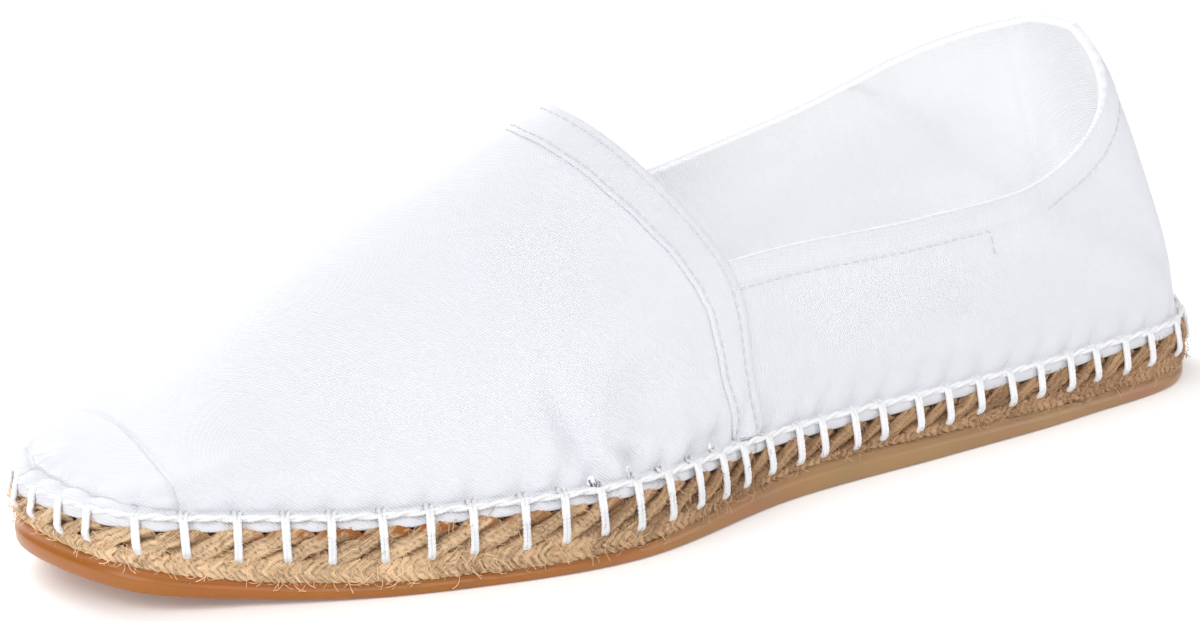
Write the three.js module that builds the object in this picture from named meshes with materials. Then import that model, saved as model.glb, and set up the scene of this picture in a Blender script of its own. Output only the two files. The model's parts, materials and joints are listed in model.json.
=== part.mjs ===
// Espadrille for a left foot: a canvas slip-on with a taped throat and a stitched toe cap, sewn to a
// jute midsole that sits in a rubber outsole. Millimetres, +X to the toe, +Y to the outer (lateral) side,
// +Z up, standing unbent on the ground plane Z = 0.
import * as THREE from 'three';

// Driving sizes
const LENGTH = 270;
const BALL_WIDTH = 95;
const SOLE_HEIGHT = 14;
const UPPER_HEIGHT = 66;
const TOE_SPRING = 7;
const HEEL_SPRING = 1.2;

// Rubber outsole: a shallow dish
const RUBBER_FLOOR = 2.2;
const RUBBER_WALL = 1.7;
const RUBBER_EDGE = 0.9;
const RUBBER_STEP = 0.5;

// Jute midsole: two braided rows, standing out between grooves
const JUTE_OVERHANG = 0.7;
const JUTE_BULGE = 0.6;
const JUTE_GROOVE = 0.5;

// Canvas upper
const CANVAS = 1.4;
const UPPER_INSET = 0.9;
const BAND_HEIGHT = 4.2;
const BAND_STEP = 0.6;
const HEM_WIDTH = 6.5;
const HEM_STEP = 0.45;
const STEP_SLOPE = 0.6;

// Pieces laid on the upper and inside it
const TAPE_WIDTH = 11;
const TAPE_THICKNESS = 0.9;
const CAP_THICKNESS = 0.9;
const INSOLE_THICKNESS = 1.5;
const GAP = 0.3;
const INSOLE_CLEARANCE = 0.9;
const INSOLE_INSET = UPPER_INSET + CANVAS + INSOLE_CLEARANCE;

// Places along the shoe, as row numbers of the table below
const THROAT_ROW = 4.2;
const CAP_ROW = 7.5;
const TOE_ROW = 9;

// The last, one section per row from the back of the heel to the tip of the toe.
// station, spine: shares of LENGTH. lateral, medial, spineSide: shares of BALL_WIDTH.
// jute (top of the midsole), rubber (rim of the outsole): shares of SOLE_HEIGHT.
// Each section rises from the sole's edge through a bulge, the collar line and a shoulder to the ridge:
// bulgeIn, collarIn, shoulderIn: how far towards the spine. lean: how much of that also goes along the shoe.
// bulge, lateralCollar, medialCollar, shoulder, ridge: heights above the midsole, shares of UPPER_HEIGHT.
const LAST = [
  { station: 0.000, lateral: 0.000, medial: 0.000, spine: 0.210, spineSide: 0.00, jute: 0.86, rubber: 0.38,
    bulgeIn: 0.10, bulge: 0.35, collarIn: 0.34, lateralCollar: 1.00, medialCollar: 1.00,
    shoulderIn: 0.70, shoulder: 1.09, ridge: 1.13, lean: 1.0 },
  { station: 0.030, lateral: 0.250, medial: -0.235, spine: 0.215, spineSide: 0.00, jute: 0.86, rubber: 0.36,
    bulgeIn: 0.08, bulge: 0.36, collarIn: 0.30, lateralCollar: 0.85, medialCollar: 1.01,
    shoulderIn: 0.70, shoulder: 1.07, ridge: 1.13, lean: 1.0 },
  { station: 0.153, lateral: 0.340, medial: -0.326, spine: 0.250, spineSide: 0.00, jute: 0.86, rubber: 0.35,
    bulgeIn: 0.03, bulge: 0.29, collarIn: 0.18, lateralCollar: 0.63, medialCollar: 0.93,
    shoulderIn: 0.70, shoulder: 1.07, ridge: 1.14, lean: 0.8 },
  { station: 0.292, lateral: 0.383, medial: -0.305, spine: 0.370, spineSide: 0.00, jute: 0.88, rubber: 0.42,
    bulgeIn: 0.02, bulge: 0.26, collarIn: 0.16, lateralCollar: 0.59, medialCollar: 0.79,
    shoulderIn: 0.68, shoulder: 1.04, ridge: 1.12, lean: 0.3 },
  { station: 0.441, lateral: 0.422, medial: -0.295, spine: 0.545, spineSide: 0.01, jute: 0.91, rubber: 0.46,
    bulgeIn: 0.05, bulge: 0.25, collarIn: 0.22, lateralCollar: 0.58, medialCollar: 0.67,
    shoulderIn: 0.66, shoulder: 1.00, ridge: 1.09, lean: 0.2 },
  { station: 0.602, lateral: 0.548, medial: -0.390, spine: 0.700, spineSide: 0.01, jute: 0.97, rubber: 0.25,
    bulgeIn: 0.09, bulge: 0.22, collarIn: 0.31, lateralCollar: 0.52, medialCollar: 0.52,
    shoulderIn: 0.66, shoulder: 0.76, ridge: 0.83, lean: 0.4 },
  { station: 0.739, lateral: 0.484, medial: -0.480, spine: 0.800, spineSide: 0.00, jute: 1.00, rubber: 0.24,
    bulgeIn: 0.12, bulge: 0.19, collarIn: 0.34, lateralCollar: 0.40, medialCollar: 0.40,
    shoulderIn: 0.66, shoulder: 0.55, ridge: 0.61, lean: 0.6 },
  { station: 0.872, lateral: 0.338, medial: -0.453, spine: 0.895, spineSide: -0.05, jute: 1.00, rubber: 0.30,
    bulgeIn: 0.14, bulge: 0.15, collarIn: 0.36, lateralCollar: 0.21, medialCollar: 0.21,
    shoulderIn: 0.66, shoulder: 0.26, ridge: 0.28, lean: 0.8 },
  { station: 0.960, lateral: 0.210, medial: -0.316, spine: 0.935, spineSide: -0.09, jute: 0.93, rubber: 0.42,
    bulgeIn: 0.06, bulge: 0.075, collarIn: 0.32, lateralCollar: 0.10, medialCollar: 0.10,
    shoulderIn: 0.68, shoulder: 0.12, ridge: 0.13, lean: 1.0 },
  { station: 1.000, lateral: -0.105, medial: -0.105, spine: 0.960, spineSide: -0.10, jute: 0.80, rubber: 0.46,
    bulgeIn: 0.05, bulge: 0.055, collarIn: 0.36, lateralCollar: 0.075, medialCollar: 0.075,
    shoulderIn: 0.70, shoulder: 0.085, ridge: 0.09, lean: 1.0 },
];
const LATERAL = 1;
const MEDIAL = -1;

// A smooth curve through four neighbouring values, at share t between the middle two
function catmullRom(before, from, to, after, t) {
  const leaving = (to - before) / 2;
  const arriving = (after - from) / 2;
  const bend = 2 * from - 2 * to + leaving + arriving;
  return ((bend * t - 3 * from + 3 * to - 2 * leaving - arriving) * t + leaving) * t + from;
}

// The value of one of the table's columns at row number w, smooth from row to row
function columnAt(name, w) {
  const last = LAST.length - 1;
  const i = Math.min(Math.floor(w), last - 1);
  const from = LAST[i][name];
  const to = LAST[i + 1][name];
  const before = i > 0 ? LAST[i - 1][name] : 2 * from - to;
  const after = i < last - 1 ? LAST[i + 2][name] : 2 * to - from;
  return catmullRom(before, from, to, after, w - i);
}

// The sole's outline seen from above: up the lateral side to the toe and back along the medial side
const sideOf = (row, side) => new THREE.Vector3(row.station * LENGTH, row[side] * BALL_WIDTH, 0);
const outlinePoints = [
  ...LAST.map((row) => sideOf(row, 'lateral')),
  ...LAST.slice(1, -1).reverse().map((row) => sideOf(row, 'medial')),
];
const outlineCurve = new THREE.CatmullRomCurve3(outlinePoints, true, 'centripetal');

// The outline's point at row number w of one side, moved inwards
function outlineAt(w, side, inset) {
  const count = outlinePoints.length;
  const place = (side === LATERAL ? w : count - w) / count;
  const step = 1e-5;
  const point = outlineCurve.getPoint((place + 1) % 1);
  const ahead = outlineCurve.getPoint((place + step + 1) % 1);
  const behind = outlineCurve.getPoint((place - step + 1) % 1);
  const along = ahead.sub(behind).normalize();
  return new THREE.Vector3(point.x + along.y * inset, point.y - along.x * inset, 0);
}

// The ground line under the sole: flat from heel to ball, lifted at the toe and a little at the heel
function springAt(x) {
  const toe = Math.max(0, (x / LENGTH - 0.76) / 0.24);
  const heel = Math.max(0, (0.06 - x / LENGTH) / 0.06);
  return TOE_SPRING * toe ** 2 + HEEL_SPRING * heel ** 2;
}

// The five points of a section of the upper: sole edge, bulge, collar line, shoulder and ridge
function sectionLevels(w, side) {
  const edge = outlineAt(w, side, UPPER_INSET);
  const spine = { x: columnAt('spine', w) * LENGTH, y: columnAt('spineSide', w) * BALL_WIDTH };
  const seat = springAt(edge.x) + columnAt('jute', w) * SOLE_HEIGHT + GAP;
  const lean = columnAt('lean', w);
  const level = (inward, along, height) => new THREE.Vector3(
    edge.x + (spine.x - edge.x) * inward * along,
    edge.y + (spine.y - edge.y) * inward,
    seat + height * UPPER_HEIGHT,
  );
  const collar = columnAt(side === LATERAL ? 'lateralCollar' : 'medialCollar', w);
  return [
    level(0, 1, 0),
    level(columnAt('bulgeIn', w), lean, columnAt('bulge', w)),
    level(columnAt('collarIn', w), lean, collar),
    level(columnAt('shoulderIn', w), 1, columnAt('shoulder', w)),
    level(1, 1, columnAt('ridge', w)),
  ];
}

// A point of a section, by level number v from 0 at the sole to 4 at the ridge, which it meets level
function sectionPoint(levels, v) {
  const below = levels[0].clone().multiplyScalar(2).sub(levels[1]);
  const beyond = levels[4].clone().multiplyScalar(2).sub(levels[3]).setZ(levels[3].z);
  const all = [below, ...levels, beyond];
  const i = Math.min(Math.floor(v), 3);
  const at = (axis) => catmullRom(all[i][axis], all[i + 1][axis], all[i + 2][axis], all[i + 3][axis], v - i);
  return new THREE.Vector3(at('x'), at('y'), at('z'));
}

// Points of a section between two levels at the wanted distances along it, each given its full length
function pointsAlong(levels, from, to, distances) {
  const SAMPLES = 32;
  const points = [];
  for (let i = 0; i <= SAMPLES; i += 1) points.push(sectionPoint(levels, from + (to - from) * i / SAMPLES));
  const lengths = [0];
  for (let i = 1; i <= SAMPLES; i += 1) lengths.push(lengths[i - 1] + points[i].distanceTo(points[i - 1]));
  return distances(lengths[SAMPLES]).map((distance) => {
    let i = 1;
    while (i < SAMPLES && lengths[i] < distance) i += 1;
    const share = (distance - lengths[i - 1]) / (lengths[i] - lengths[i - 1]);
    return points[i - 1].clone().lerp(points[i], share);
  });
}

// Section planes of every piece, as row numbers: even steps between the places where pieces end
function evenSteps(from, to, steps) {
  return Array.from({ length: steps }, (_, i) => from + (to - from) * i / steps);
}
const TAPE_ROWS = TAPE_WIDTH / ((LAST[5].station - LAST[4].station) * LENGTH);
const TAPE_COLUMNS = 2;
const planes = [
  ...evenSteps(0, 1, 5),
  ...evenSteps(1, THROAT_ROW, 12),
  ...evenSteps(THROAT_ROW, THROAT_ROW + TAPE_ROWS, TAPE_COLUMNS),
  ...evenSteps(THROAT_ROW + TAPE_ROWS, CAP_ROW, 11),
  ...evenSteps(CAP_ROW, TOE_ROW, 8),
  TOE_ROW,
];
const HALF = planes.length - 1;
const RING = 2 * HALF;
const THROAT = planes.indexOf(THROAT_ROW);
const CAP = planes.indexOf(CAP_ROW);

// Columns run round the shoe: 0 is the heel, then the lateral side, HALF is the toe, then the medial side
const planeOf = (column) => (column <= HALF ? column : RING - column);
const sideAt = (column) => (column <= HALF ? LATERAL : MEDIAL);

// A closed mesh, its triangles turned outwards
function mesh(name, points, triangles, material) {
  let volume = 0;
  for (const [a, b, c] of triangles) volume += points[a].dot(points[b].clone().cross(points[c]));
  const turned = volume > 0 ? triangles : triangles.map(([a, b, c]) => [a, c, b]);
  const geometry = new THREE.BufferGeometry().setFromPoints(points);
  geometry.setIndex(turned.flat());
  geometry.computeVertexNormals();
  const result = new THREE.Mesh(geometry, material);
  result.name = name;
  return result;
}

// A ring round the shoe at one inset, with a height that depends on the plane
function ring(inset, heightAt) {
  return Array.from({ length: RING }, (_, column) => {
    const w = planes[planeOf(column)];
    const point = outlineAt(w, sideAt(column), inset);
    return point.setZ(springAt(point.x) + heightAt(w));
  });
}

// A solid from rings one after another; the first and the last are closed across the shoe
function stack(name, rings, material) {
  const points = rings.flat();
  const triangles = [];
  rings.slice(1).forEach((_, level) => {
    for (let i = 0; i < RING; i += 1) {
      const a = level * RING + i;
      const b = level * RING + (i + 1) % RING;
      triangles.push([a, b, b + RING], [a, b + RING, a + RING]);
    }
  });
  const close = (first, flip) => {
    for (let i = 0; i < HALF; i += 1) {
      const a = first + i;
      const b = first + i + 1;
      const across = (index) => first + (RING - (index - first)) % RING;
      const faces = [];
      if (i > 0) faces.push([b, a, across(a)]);
      if (i < HALF - 1) faces.push([b, across(a), across(b)]);
      triangles.push(...faces.map(([p, q, r]) => (flip ? [p, r, q] : [p, q, r])));
    }
  };
  close(0, false);
  close((rings.length - 1) * RING, true);
  return mesh(name, points, triangles, material);
}

const juteTop = (w) => columnAt('jute', w) * SOLE_HEIGHT;
const rubberRim = (w) => columnAt('rubber', w) * SOLE_HEIGHT;

function outsole(material) {
  return stack('outsole', [
    ring(RUBBER_EDGE, () => 0),
    ring(0, () => RUBBER_EDGE),
    ring(0, (w) => rubberRim(w) * 0.55),
    ring(RUBBER_STEP, (w) => rubberRim(w) * 0.55 + RUBBER_STEP / 2),
    ring(RUBBER_STEP, (w) => rubberRim(w)),
    ring(RUBBER_WALL, (w) => rubberRim(w)),
    ring(RUBBER_WALL, () => RUBBER_FLOOR),
  ], material);
}

function midsole(material) {
  const between = (share) => (w) => {
    const from = rubberRim(w) + GAP;
    return from + (juteTop(w) - from) * share;
  };
  return stack('midsole', [
    ring(RUBBER_WALL + GAP, () => RUBBER_FLOOR + GAP),
    ring(RUBBER_WALL + GAP, between(0)),
    ring(JUTE_OVERHANG, between(0)),
    ring(JUTE_OVERHANG - JUTE_BULGE, between(0.22)),
    ring(JUTE_OVERHANG + JUTE_GROOVE, between(0.46)),
    ring(JUTE_OVERHANG - JUTE_BULGE, between(0.72)),
    ring(JUTE_OVERHANG + JUTE_GROOVE, between(1)),
    ring(INSOLE_INSET, between(1)),
  ], material);
}

function insole(material) {
  return stack('insole', [
    ring(INSOLE_INSET, (w) => juteTop(w) + GAP),
    ring(INSOLE_INSET + INSOLE_THICKNESS / 3, (w) => juteTop(w) + GAP + INSOLE_THICKNESS),
  ], material);
}

// Distances up a side, from the sole to the collar line: hem band, plain cloth, collar hem
const BAND_ROW = 1;
const CLOTH_ROW = 2;
const HEM_ROW = 6;
const COLLAR_ROW = 7;
const RIDGE_ROW = 13;
function sideDistances(full, hemmed) {
  const hemEnd = hemmed ? full - HEM_WIDTH : full;
  const clothFrom = BAND_HEIGHT + STEP_SLOPE;
  const clothTo = hemmed ? hemEnd - STEP_SLOPE : clothFrom + (full - clothFrom) * 0.6;
  const between = (share) => clothFrom + (clothTo - clothFrom) * share;
  const hemFrom = hemmed ? hemEnd : clothFrom + (full - clothFrom) * 0.8;
  return [0, BAND_HEIGHT, clothFrom, between(1 / 3), between(2 / 3), clothTo, hemFrom, full];
}
const crownDistances = (full) => Array.from({ length: RIDGE_ROW - COLLAR_ROW }, (_, i) =>
  full * (i + 1) / (RIDGE_ROW - COLLAR_ROW));

// The upper's outer face as a sheet of triangles on a grid of columns and rows; lateral and medial
// columns of the vamp meet on the ridge, where they share their points
function upperSheet() {
  const points = [];
  const place = [];
  const ids = Array.from({ length: RING }, () => []);
  const add = (column, row, point) => {
    ids[column][row] = points.length;
    points.push(point);
    place.push({ column, row });
  };
  for (let column = 0; column < RING; column += 1) {
    const plane = planeOf(column);
    const levels = sectionLevels(planes[plane], sideAt(column));
    const hemmed = plane <= THROAT;
    pointsAlong(levels, 0, 2, (full) => sideDistances(full, hemmed)).forEach((point, row) =>
      add(column, row, point));
    if (plane < THROAT) continue;
    pointsAlong(levels, 2, 4, crownDistances).forEach((point, i) => {
      const row = COLLAR_ROW + 1 + i;
      if (row === RIDGE_ROW && column > HALF) ids[column][row] = ids[RING - column][row];
      else add(column, row, point);
    });
  }
  const cells = [];
  for (let column = 0; column < RING; column += 1) {
    const next = (column + 1) % RING;
    const rows = Math.min(ids[column].length, ids[next].length);
    for (let row = 0; row < rows - 1; row += 1) {
      const [a, b, c, d] = [ids[column][row], ids[next][row], ids[next][row + 1], ids[column][row + 1]];
      const low = Math.min(planeOf(column), planeOf(next));
      const triangles = column < HALF ? [[a, b, c], [a, c, d]] : [[a, b, d], [b, c, d]];
      cells.push({ low, row, triangles });
    }
  }
  return { points, place, cells };
}

// Outward directions of the sheet's points, evened out over their neighbours so that layers stay
// parallel; the lowest row stays level so that it sits flat on the sole
function outwardDirections({ points, place, cells }) {
  const SMOOTHING_PASSES = 2;
  const triangles = cells.flatMap((cell) => cell.triangles);
  let directions = points.map(() => new THREE.Vector3());
  for (const [a, b, c] of triangles) {
    const normal = points[c].clone().sub(points[a]).cross(points[b].clone().sub(points[a]));
    [a, b, c].forEach((id) => directions[id].add(normal));
  }
  for (let pass = 0; pass < SMOOTHING_PASSES; pass += 1) {
    const units = directions.map((direction) => direction.clone().normalize());
    directions = units.map((direction) => direction.clone());
    for (const face of triangles) face.forEach((id) => face.forEach((other) => directions[id].add(units[other])));
  }
  return directions.map((direction, id) => (place[id].row === 0 ? direction.setZ(0) : direction).normalize());
}

// A piece of the sheet made solid between two offsets from it, with its free edges closed
function shell(name, sheet, cells, outer, inner, material) {
  const triangles = cells.flatMap((cell) => cell.triangles);
  const used = [...new Set(triangles.flat())];
  const order = new Map(used.map((id, i) => [id, i]));
  const shifted = (offset) => used.map((id) =>
    sheet.points[id].clone().addScaledVector(sheet.outward[id], offset(sheet.place[id])));
  const count = used.length;
  const faces = triangles.map((face) => face.map((id) => order.get(id)));
  const edges = new Map();
  for (const [a, b, c] of faces) {
    for (const [from, to] of [[a, b], [b, c], [c, a]]) edges.set(`${from} ${to}`, [from, to]);
  }
  const rim = [...edges.values()].filter(([from, to]) => !edges.has(`${to} ${from}`));
  return mesh(name, [...shifted(outer), ...shifted(inner)], [
    ...faces,
    ...faces.map(([a, b, c]) => [a + count, c + count, b + count]),
    ...rim.flatMap(([from, to]) => [[to, from, from + count], [to, from + count, to + count]]),
  ], material);
}

// How far the cloth stands out in its folded band over the sole and in its collar hem
function foldOf({ column, row }) {
  if (row <= BAND_ROW) return BAND_STEP;
  const behindThroat = planeOf(column) < THROAT;
  return behindThroat && row >= HEM_ROW && row <= COLLAR_ROW ? HEM_STEP : 0;
}

function canvasPieces(canvas, tape) {
  const sheet = upperSheet();
  sheet.outward = outwardDirections(sheet);
  const above = (lift) => () => lift;
  const tapeCells = sheet.cells.filter(({ low, row }) =>
    row >= CLOTH_ROW && low >= THROAT && low < THROAT + TAPE_COLUMNS);
  const capCells = sheet.cells.filter(({ low, row }) => row >= CLOTH_ROW && low >= CAP);
  return [
    shell('upper', sheet, sheet.cells, foldOf, () => -CANVAS, canvas),
    shell('throat_tape', sheet, tapeCells, above(GAP + TAPE_THICKNESS), above(GAP), tape),
    shell('toe_cap', sheet, capCells, above(GAP + CAP_THICKNESS), above(GAP), canvas),
  ];
}

// Materials
const canvas = new THREE.MeshStandardMaterial({ color: 0xe9edf5, roughness: 0.92, metalness: 0 });
const cottonTape = new THREE.MeshStandardMaterial({ color: 0xf1f4fa, roughness: 0.9, metalness: 0 });
const jute = new THREE.MeshStandardMaterial({ color: 0xa98455, roughness: 0.95, metalness: 0 });
const rubber = new THREE.MeshStandardMaterial({ color: 0xb07a3a, roughness: 0.4, metalness: 0 });
const lining = new THREE.MeshStandardMaterial({ color: 0xdcdfe6, roughness: 0.95, metalness: 0 });

// The shoe, moved so that the middle of its outline is over the origin
const shoe = new THREE.Group();
shoe.name = 'espadrille';
shoe.add(outsole(rubber), midsole(jute), insole(lining), ...canvasPieces(canvas, cottonTape));
const box = new THREE.Box3().setFromPoints(ring(0, () => 0));
shoe.position.set(-(box.min.x + box.max.x) / 2, -(box.min.y + box.max.y) / 2, 0);
shoe.updateMatrixWorld(true);

export default shoe;
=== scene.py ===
"""Espadrille for a left foot, dressed around its CAD frame.

Sizes are in millimetres along the shoe from the back of the heel, +X to the toe, +Y to the outer side;
frame_points() turns them into Blender's metres in the shared frame.
"""
import json
import math

import bmesh
import bpy
import numpy as np
from bpy.props import FloatProperty, FloatVectorProperty, IntProperty, PointerProperty
from mathutils import Matrix, Vector

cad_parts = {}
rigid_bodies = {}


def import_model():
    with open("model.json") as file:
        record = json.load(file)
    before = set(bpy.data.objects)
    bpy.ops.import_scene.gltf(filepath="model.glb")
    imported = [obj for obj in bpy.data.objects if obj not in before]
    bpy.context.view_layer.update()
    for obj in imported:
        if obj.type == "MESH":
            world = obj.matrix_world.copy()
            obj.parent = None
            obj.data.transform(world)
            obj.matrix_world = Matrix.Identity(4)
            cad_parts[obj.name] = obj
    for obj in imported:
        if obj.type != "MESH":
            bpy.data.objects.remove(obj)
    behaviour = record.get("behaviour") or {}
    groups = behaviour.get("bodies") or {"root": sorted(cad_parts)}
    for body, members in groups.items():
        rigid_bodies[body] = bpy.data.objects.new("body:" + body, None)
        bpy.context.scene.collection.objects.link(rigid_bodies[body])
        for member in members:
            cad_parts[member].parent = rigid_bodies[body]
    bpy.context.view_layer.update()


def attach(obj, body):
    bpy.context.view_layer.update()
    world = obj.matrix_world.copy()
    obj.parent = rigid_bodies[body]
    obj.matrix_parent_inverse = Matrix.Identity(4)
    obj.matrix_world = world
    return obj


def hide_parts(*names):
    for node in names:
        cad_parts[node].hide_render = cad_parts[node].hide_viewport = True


bl_info = {
    "name": "Canvas espadrille",
    "version": (1, 0, 0),
    "blender": (4, 5, 0),
    "location": "View3D > Sidebar > Espadrille",
    "description": "A canvas slip-on sewn to a jute and rubber sole",
    "category": "Object",
}

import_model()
MM = 0.001
BODY = "root"

# Driving sizes, the same as the frame's
LENGTH = 270.0
BALL_WIDTH = 95.0
SOLE_HEIGHT = 14.0
UPPER_HEIGHT = 66.0
TOE_SPRING = 7.0
HEEL_SPRING = 1.2
RUBBER_FLOOR = 2.2
RUBBER_WALL = 1.7
CANVAS = 1.4
UPPER_INSET = 0.9
GAP = 0.3
INSOLE_THICKNESS = 1.5
INSOLE_INSET = UPPER_INSET + CANVAS + 0.9
TAPE_WIDTH = 11.0
THROAT_ROW = 4.2
CAP_ROW = 7.5
TOE_ROW = 9.0
LATERAL = 1
MEDIAL = -1

# The last, one value per section from the back of the heel to the tip of the toe, as in the frame
LAST = {
    "station": (0.000, 0.030, 0.153, 0.292, 0.441, 0.602, 0.739, 0.872, 0.960, 1.000),
    "lateral": (0.000, 0.250, 0.340, 0.383, 0.422, 0.548, 0.484, 0.338, 0.210, -0.105),
    "medial": (0.000, -0.235, -0.326, -0.305, -0.295, -0.390, -0.480, -0.453, -0.316, -0.105),
    "spine": (0.210, 0.215, 0.250, 0.370, 0.545, 0.700, 0.800, 0.895, 0.935, 0.960),
    "spine_side": (0.00, 0.00, 0.00, 0.00, 0.01, 0.01, 0.00, -0.05, -0.09, -0.10),
    "jute": (0.86, 0.86, 0.86, 0.88, 0.91, 0.97, 1.00, 1.00, 0.93, 0.80),
    "rubber": (0.38, 0.36, 0.35, 0.42, 0.46, 0.25, 0.24, 0.30, 0.42, 0.46),
    "bulge_in": (0.10, 0.08, 0.03, 0.02, 0.05, 0.09, 0.12, 0.14, 0.06, 0.05),
    "bulge": (0.35, 0.36, 0.29, 0.26, 0.25, 0.22, 0.19, 0.15, 0.075, 0.055),
    "collar_in": (0.34, 0.30, 0.18, 0.16, 0.22, 0.31, 0.34, 0.36, 0.32, 0.36),
    "lateral_collar": (1.00, 0.85, 0.63, 0.59, 0.58, 0.52, 0.40, 0.21, 0.10, 0.075),
    "medial_collar": (1.00, 1.01, 0.93, 0.79, 0.67, 0.52, 0.40, 0.21, 0.10, 0.075),
    "shoulder_in": (0.70, 0.70, 0.70, 0.68, 0.66, 0.66, 0.66, 0.66, 0.68, 0.70),
    "shoulder": (1.09, 1.07, 1.07, 1.04, 1.00, 0.76, 0.55, 0.26, 0.12, 0.085),
    "ridge": (1.13, 1.13, 1.14, 1.12, 1.09, 0.83, 0.61, 0.28, 0.13, 0.09),
    "lean": (1.0, 1.0, 0.8, 0.3, 0.2, 0.4, 0.6, 0.8, 1.0, 1.0),
}

# Blanket stitches: distances round the sole from the heel on the lateral side, as sewn by hand, and the
# even pitch with which they go on round the toe and back along the medial side
LATERAL_STITCHES = (30.0, 39.8, 47.6, 56.6, 64.3, 73.0, 81.4, 89.9, 98.4, 106.4, 115.8, 123.0, 131.4,
                    137.6, 146.3, 154.0, 160.6, 168.1, 176.2, 183.8, 191.9, 199.5, 207.6, 217.9, 226.4,
                    235.7, 245.5, 254.4, 263.6, 273.9, 283.3, 293.8)
STITCH_PITCH = 8.6
STITCH_JITTER = 0.7
STITCH_INSETS = (0.0, -0.45, -0.7, -0.9, -1.2, -1.05, -0.3, 1.2)

# The running cord: height over the jute, radius of a strand, step along it, length of one turn of the
# cord and of one turn of a strand's fibres
CORD_HEIGHT = 2.9
CORD_RADIUS = 0.54
CORD_STEP = 0.7
CORD_TURN = 9.0
STRAND_TURN = 2.6

# The outsole's section from its underside over the lip line and the rim to the floor of the dish: inset,
# share of the rim's height, share of the rim's small waves, height added
OUTSOLE_SECTION = (
    (2.0, 0, 0, 0.0), (1.0, 0, 0, 0.02), (0.35, 0, 0, 0.35), (0.05, 0, 0, 0.9), (-0.05, 0.45, 0, 0),
    (0.02, 0.55, 0, 0), (0.4, 0.62, 0, 0), (0.45, 0.8, 0, 0), (0.5, 1, 1, -0.25), (0.75, 1, 1, 0),
    (RUBBER_WALL - 0.2, 1, 1, 0), (RUBBER_WALL, 1, 1, -0.3), (RUBBER_WALL, 0, 0, RUBBER_FLOOR),
)

# Rows of jute yarns: seed, yarn pitch, slant (negative leans back), depth of the lobes between stitches,
# and height against the room between the heights that bound the row
UPPER_ROW = {"seed": 5, "yarn": 2.35, "slant": -1.6, "lobe": 1.3, "fullness": 1.14}
LOWER_ROW = {"seed": 9, "yarn": 1.7, "slant": -0.9, "lobe": 0.0, "fullness": 1.2}
YARN_STEP = 0.42

# Loose fibres of both rows: number per square metre, shortest and longest; and the radius of a fibre as a
# share of its length
UPPER_FIBRES = (0.38e6, 0.5, 2.4)
LOWER_FIBRES = (0.6e6, 0.6, 3.0)
FIBRE_RADIUS = 0.034

# Brown marks of glue: their middle by distance round the sole, and their spread
GLUE_PLACE = 232
GLUE_SPREAD = 34

# Camera, as fitted to the photograph: degrees, and millimetres in the shoe's frame
CAMERA_AZIMUTH = 27.15
CAMERA_ELEVATION = 17.15
CAMERA_ROLL = -2.75
CAMERA_DISTANCE = 796.5
CAMERA_AIM = (-23.1, -62.1, 14.9)
CAMERA_LENS = 103.2

# Soft lights: name, place in metres, disc size in metres, watts; and the strength of the white room
LIGHTS = (
    ("camera_side", (0.3, 1.05, 1.2), 1.2, 9.2),
    ("toe_side", (1.2, 0.5, 0.9), 1.2, 10.8),
    ("heel_side", (-1.2, 0.8, 0.8), 1.2, 8.6),
    ("behind", (0.2, -1.2, 0.9), 1.2, 20.0),
)
ROOM = 0.36
ROOM_COLOUR = (0.97, 0.975, 1.0, 1)
FLOOR_COLOUR = (0.93, 0.93, 0.93)
FLOOR_GLOW = 0.14


# Curves and surfaces of the last

def catmull_rom(before, start, end, after, t):
    """A smooth curve through four neighbouring values, at share t between the middle two."""
    leaving = (end - before) / 2
    arriving = (after - start) / 2
    bend = 2 * start - 2 * end + leaving + arriving
    return ((bend * t - 3 * start + 3 * end - 2 * leaving - arriving) * t + leaving) * t + start


def column_at(name, w):
    """The value of one of the table's columns at row number w."""
    values = np.array(LAST[name])
    padded = np.concatenate([[2 * values[0] - values[1]], values, [2 * values[-1] - values[-2]]])
    i = np.clip(np.floor(w).astype(int), 0, len(values) - 2)
    return catmull_rom(padded[i], padded[i + 1], padded[i + 2], padded[i + 3], w - i)


def outline_knots():
    """The outline's points: up the lateral side to the toe and back along the medial side."""
    x = np.array(LAST["station"]) * LENGTH
    lateral = np.column_stack([x, np.array(LAST["lateral"]) * BALL_WIDTH])
    medial = np.column_stack([x, np.array(LAST["medial"]) * BALL_WIDTH])
    return np.vstack([lateral, medial[-2:0:-1]])


def outline_curve(place):
    """The outline at a place in knots, as a closed centripetal curve."""
    knots = outline_knots()
    count = len(knots)
    place = np.mod(place, count)
    i = np.floor(place).astype(int) % count
    t = (place - np.floor(place))[:, None]
    p = [knots[(i + k) % count] for k in (-1, 0, 1, 2)]
    gap = [np.sqrt(np.linalg.norm(p[k + 1] - p[k], axis=1))[:, None] for k in range(3)]
    leaving = ((p[1] - p[0]) / gap[0] - (p[2] - p[0]) / (gap[0] + gap[1]) + (p[2] - p[1]) / gap[1]) * gap[1]
    arriving = ((p[2] - p[1]) / gap[1] - (p[3] - p[1]) / (gap[1] + gap[2]) + (p[3] - p[2]) / gap[2]) * gap[1]
    bend = 2 * p[1] - 2 * p[2] + leaving + arriving
    return ((bend * t - 3 * p[1] + 3 * p[2] - 2 * leaving - arriving) * t + leaving) * t + p[1]


def outline_at(w, side, inset):
    """The outline's point at row number w of one side, moved inwards."""
    count = 2 * TOE_ROW
    place = np.where(np.asarray(side) == LATERAL, w, count - w)
    step = 1e-3
    along = outline_curve(place + step) - outline_curve(place - step)
    along /= np.linalg.norm(along, axis=1, keepdims=True)
    inward = np.column_stack([along[:, 1], -along[:, 0]])
    return outline_curve(place) + inward * np.reshape(inset, (-1, 1))


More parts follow.
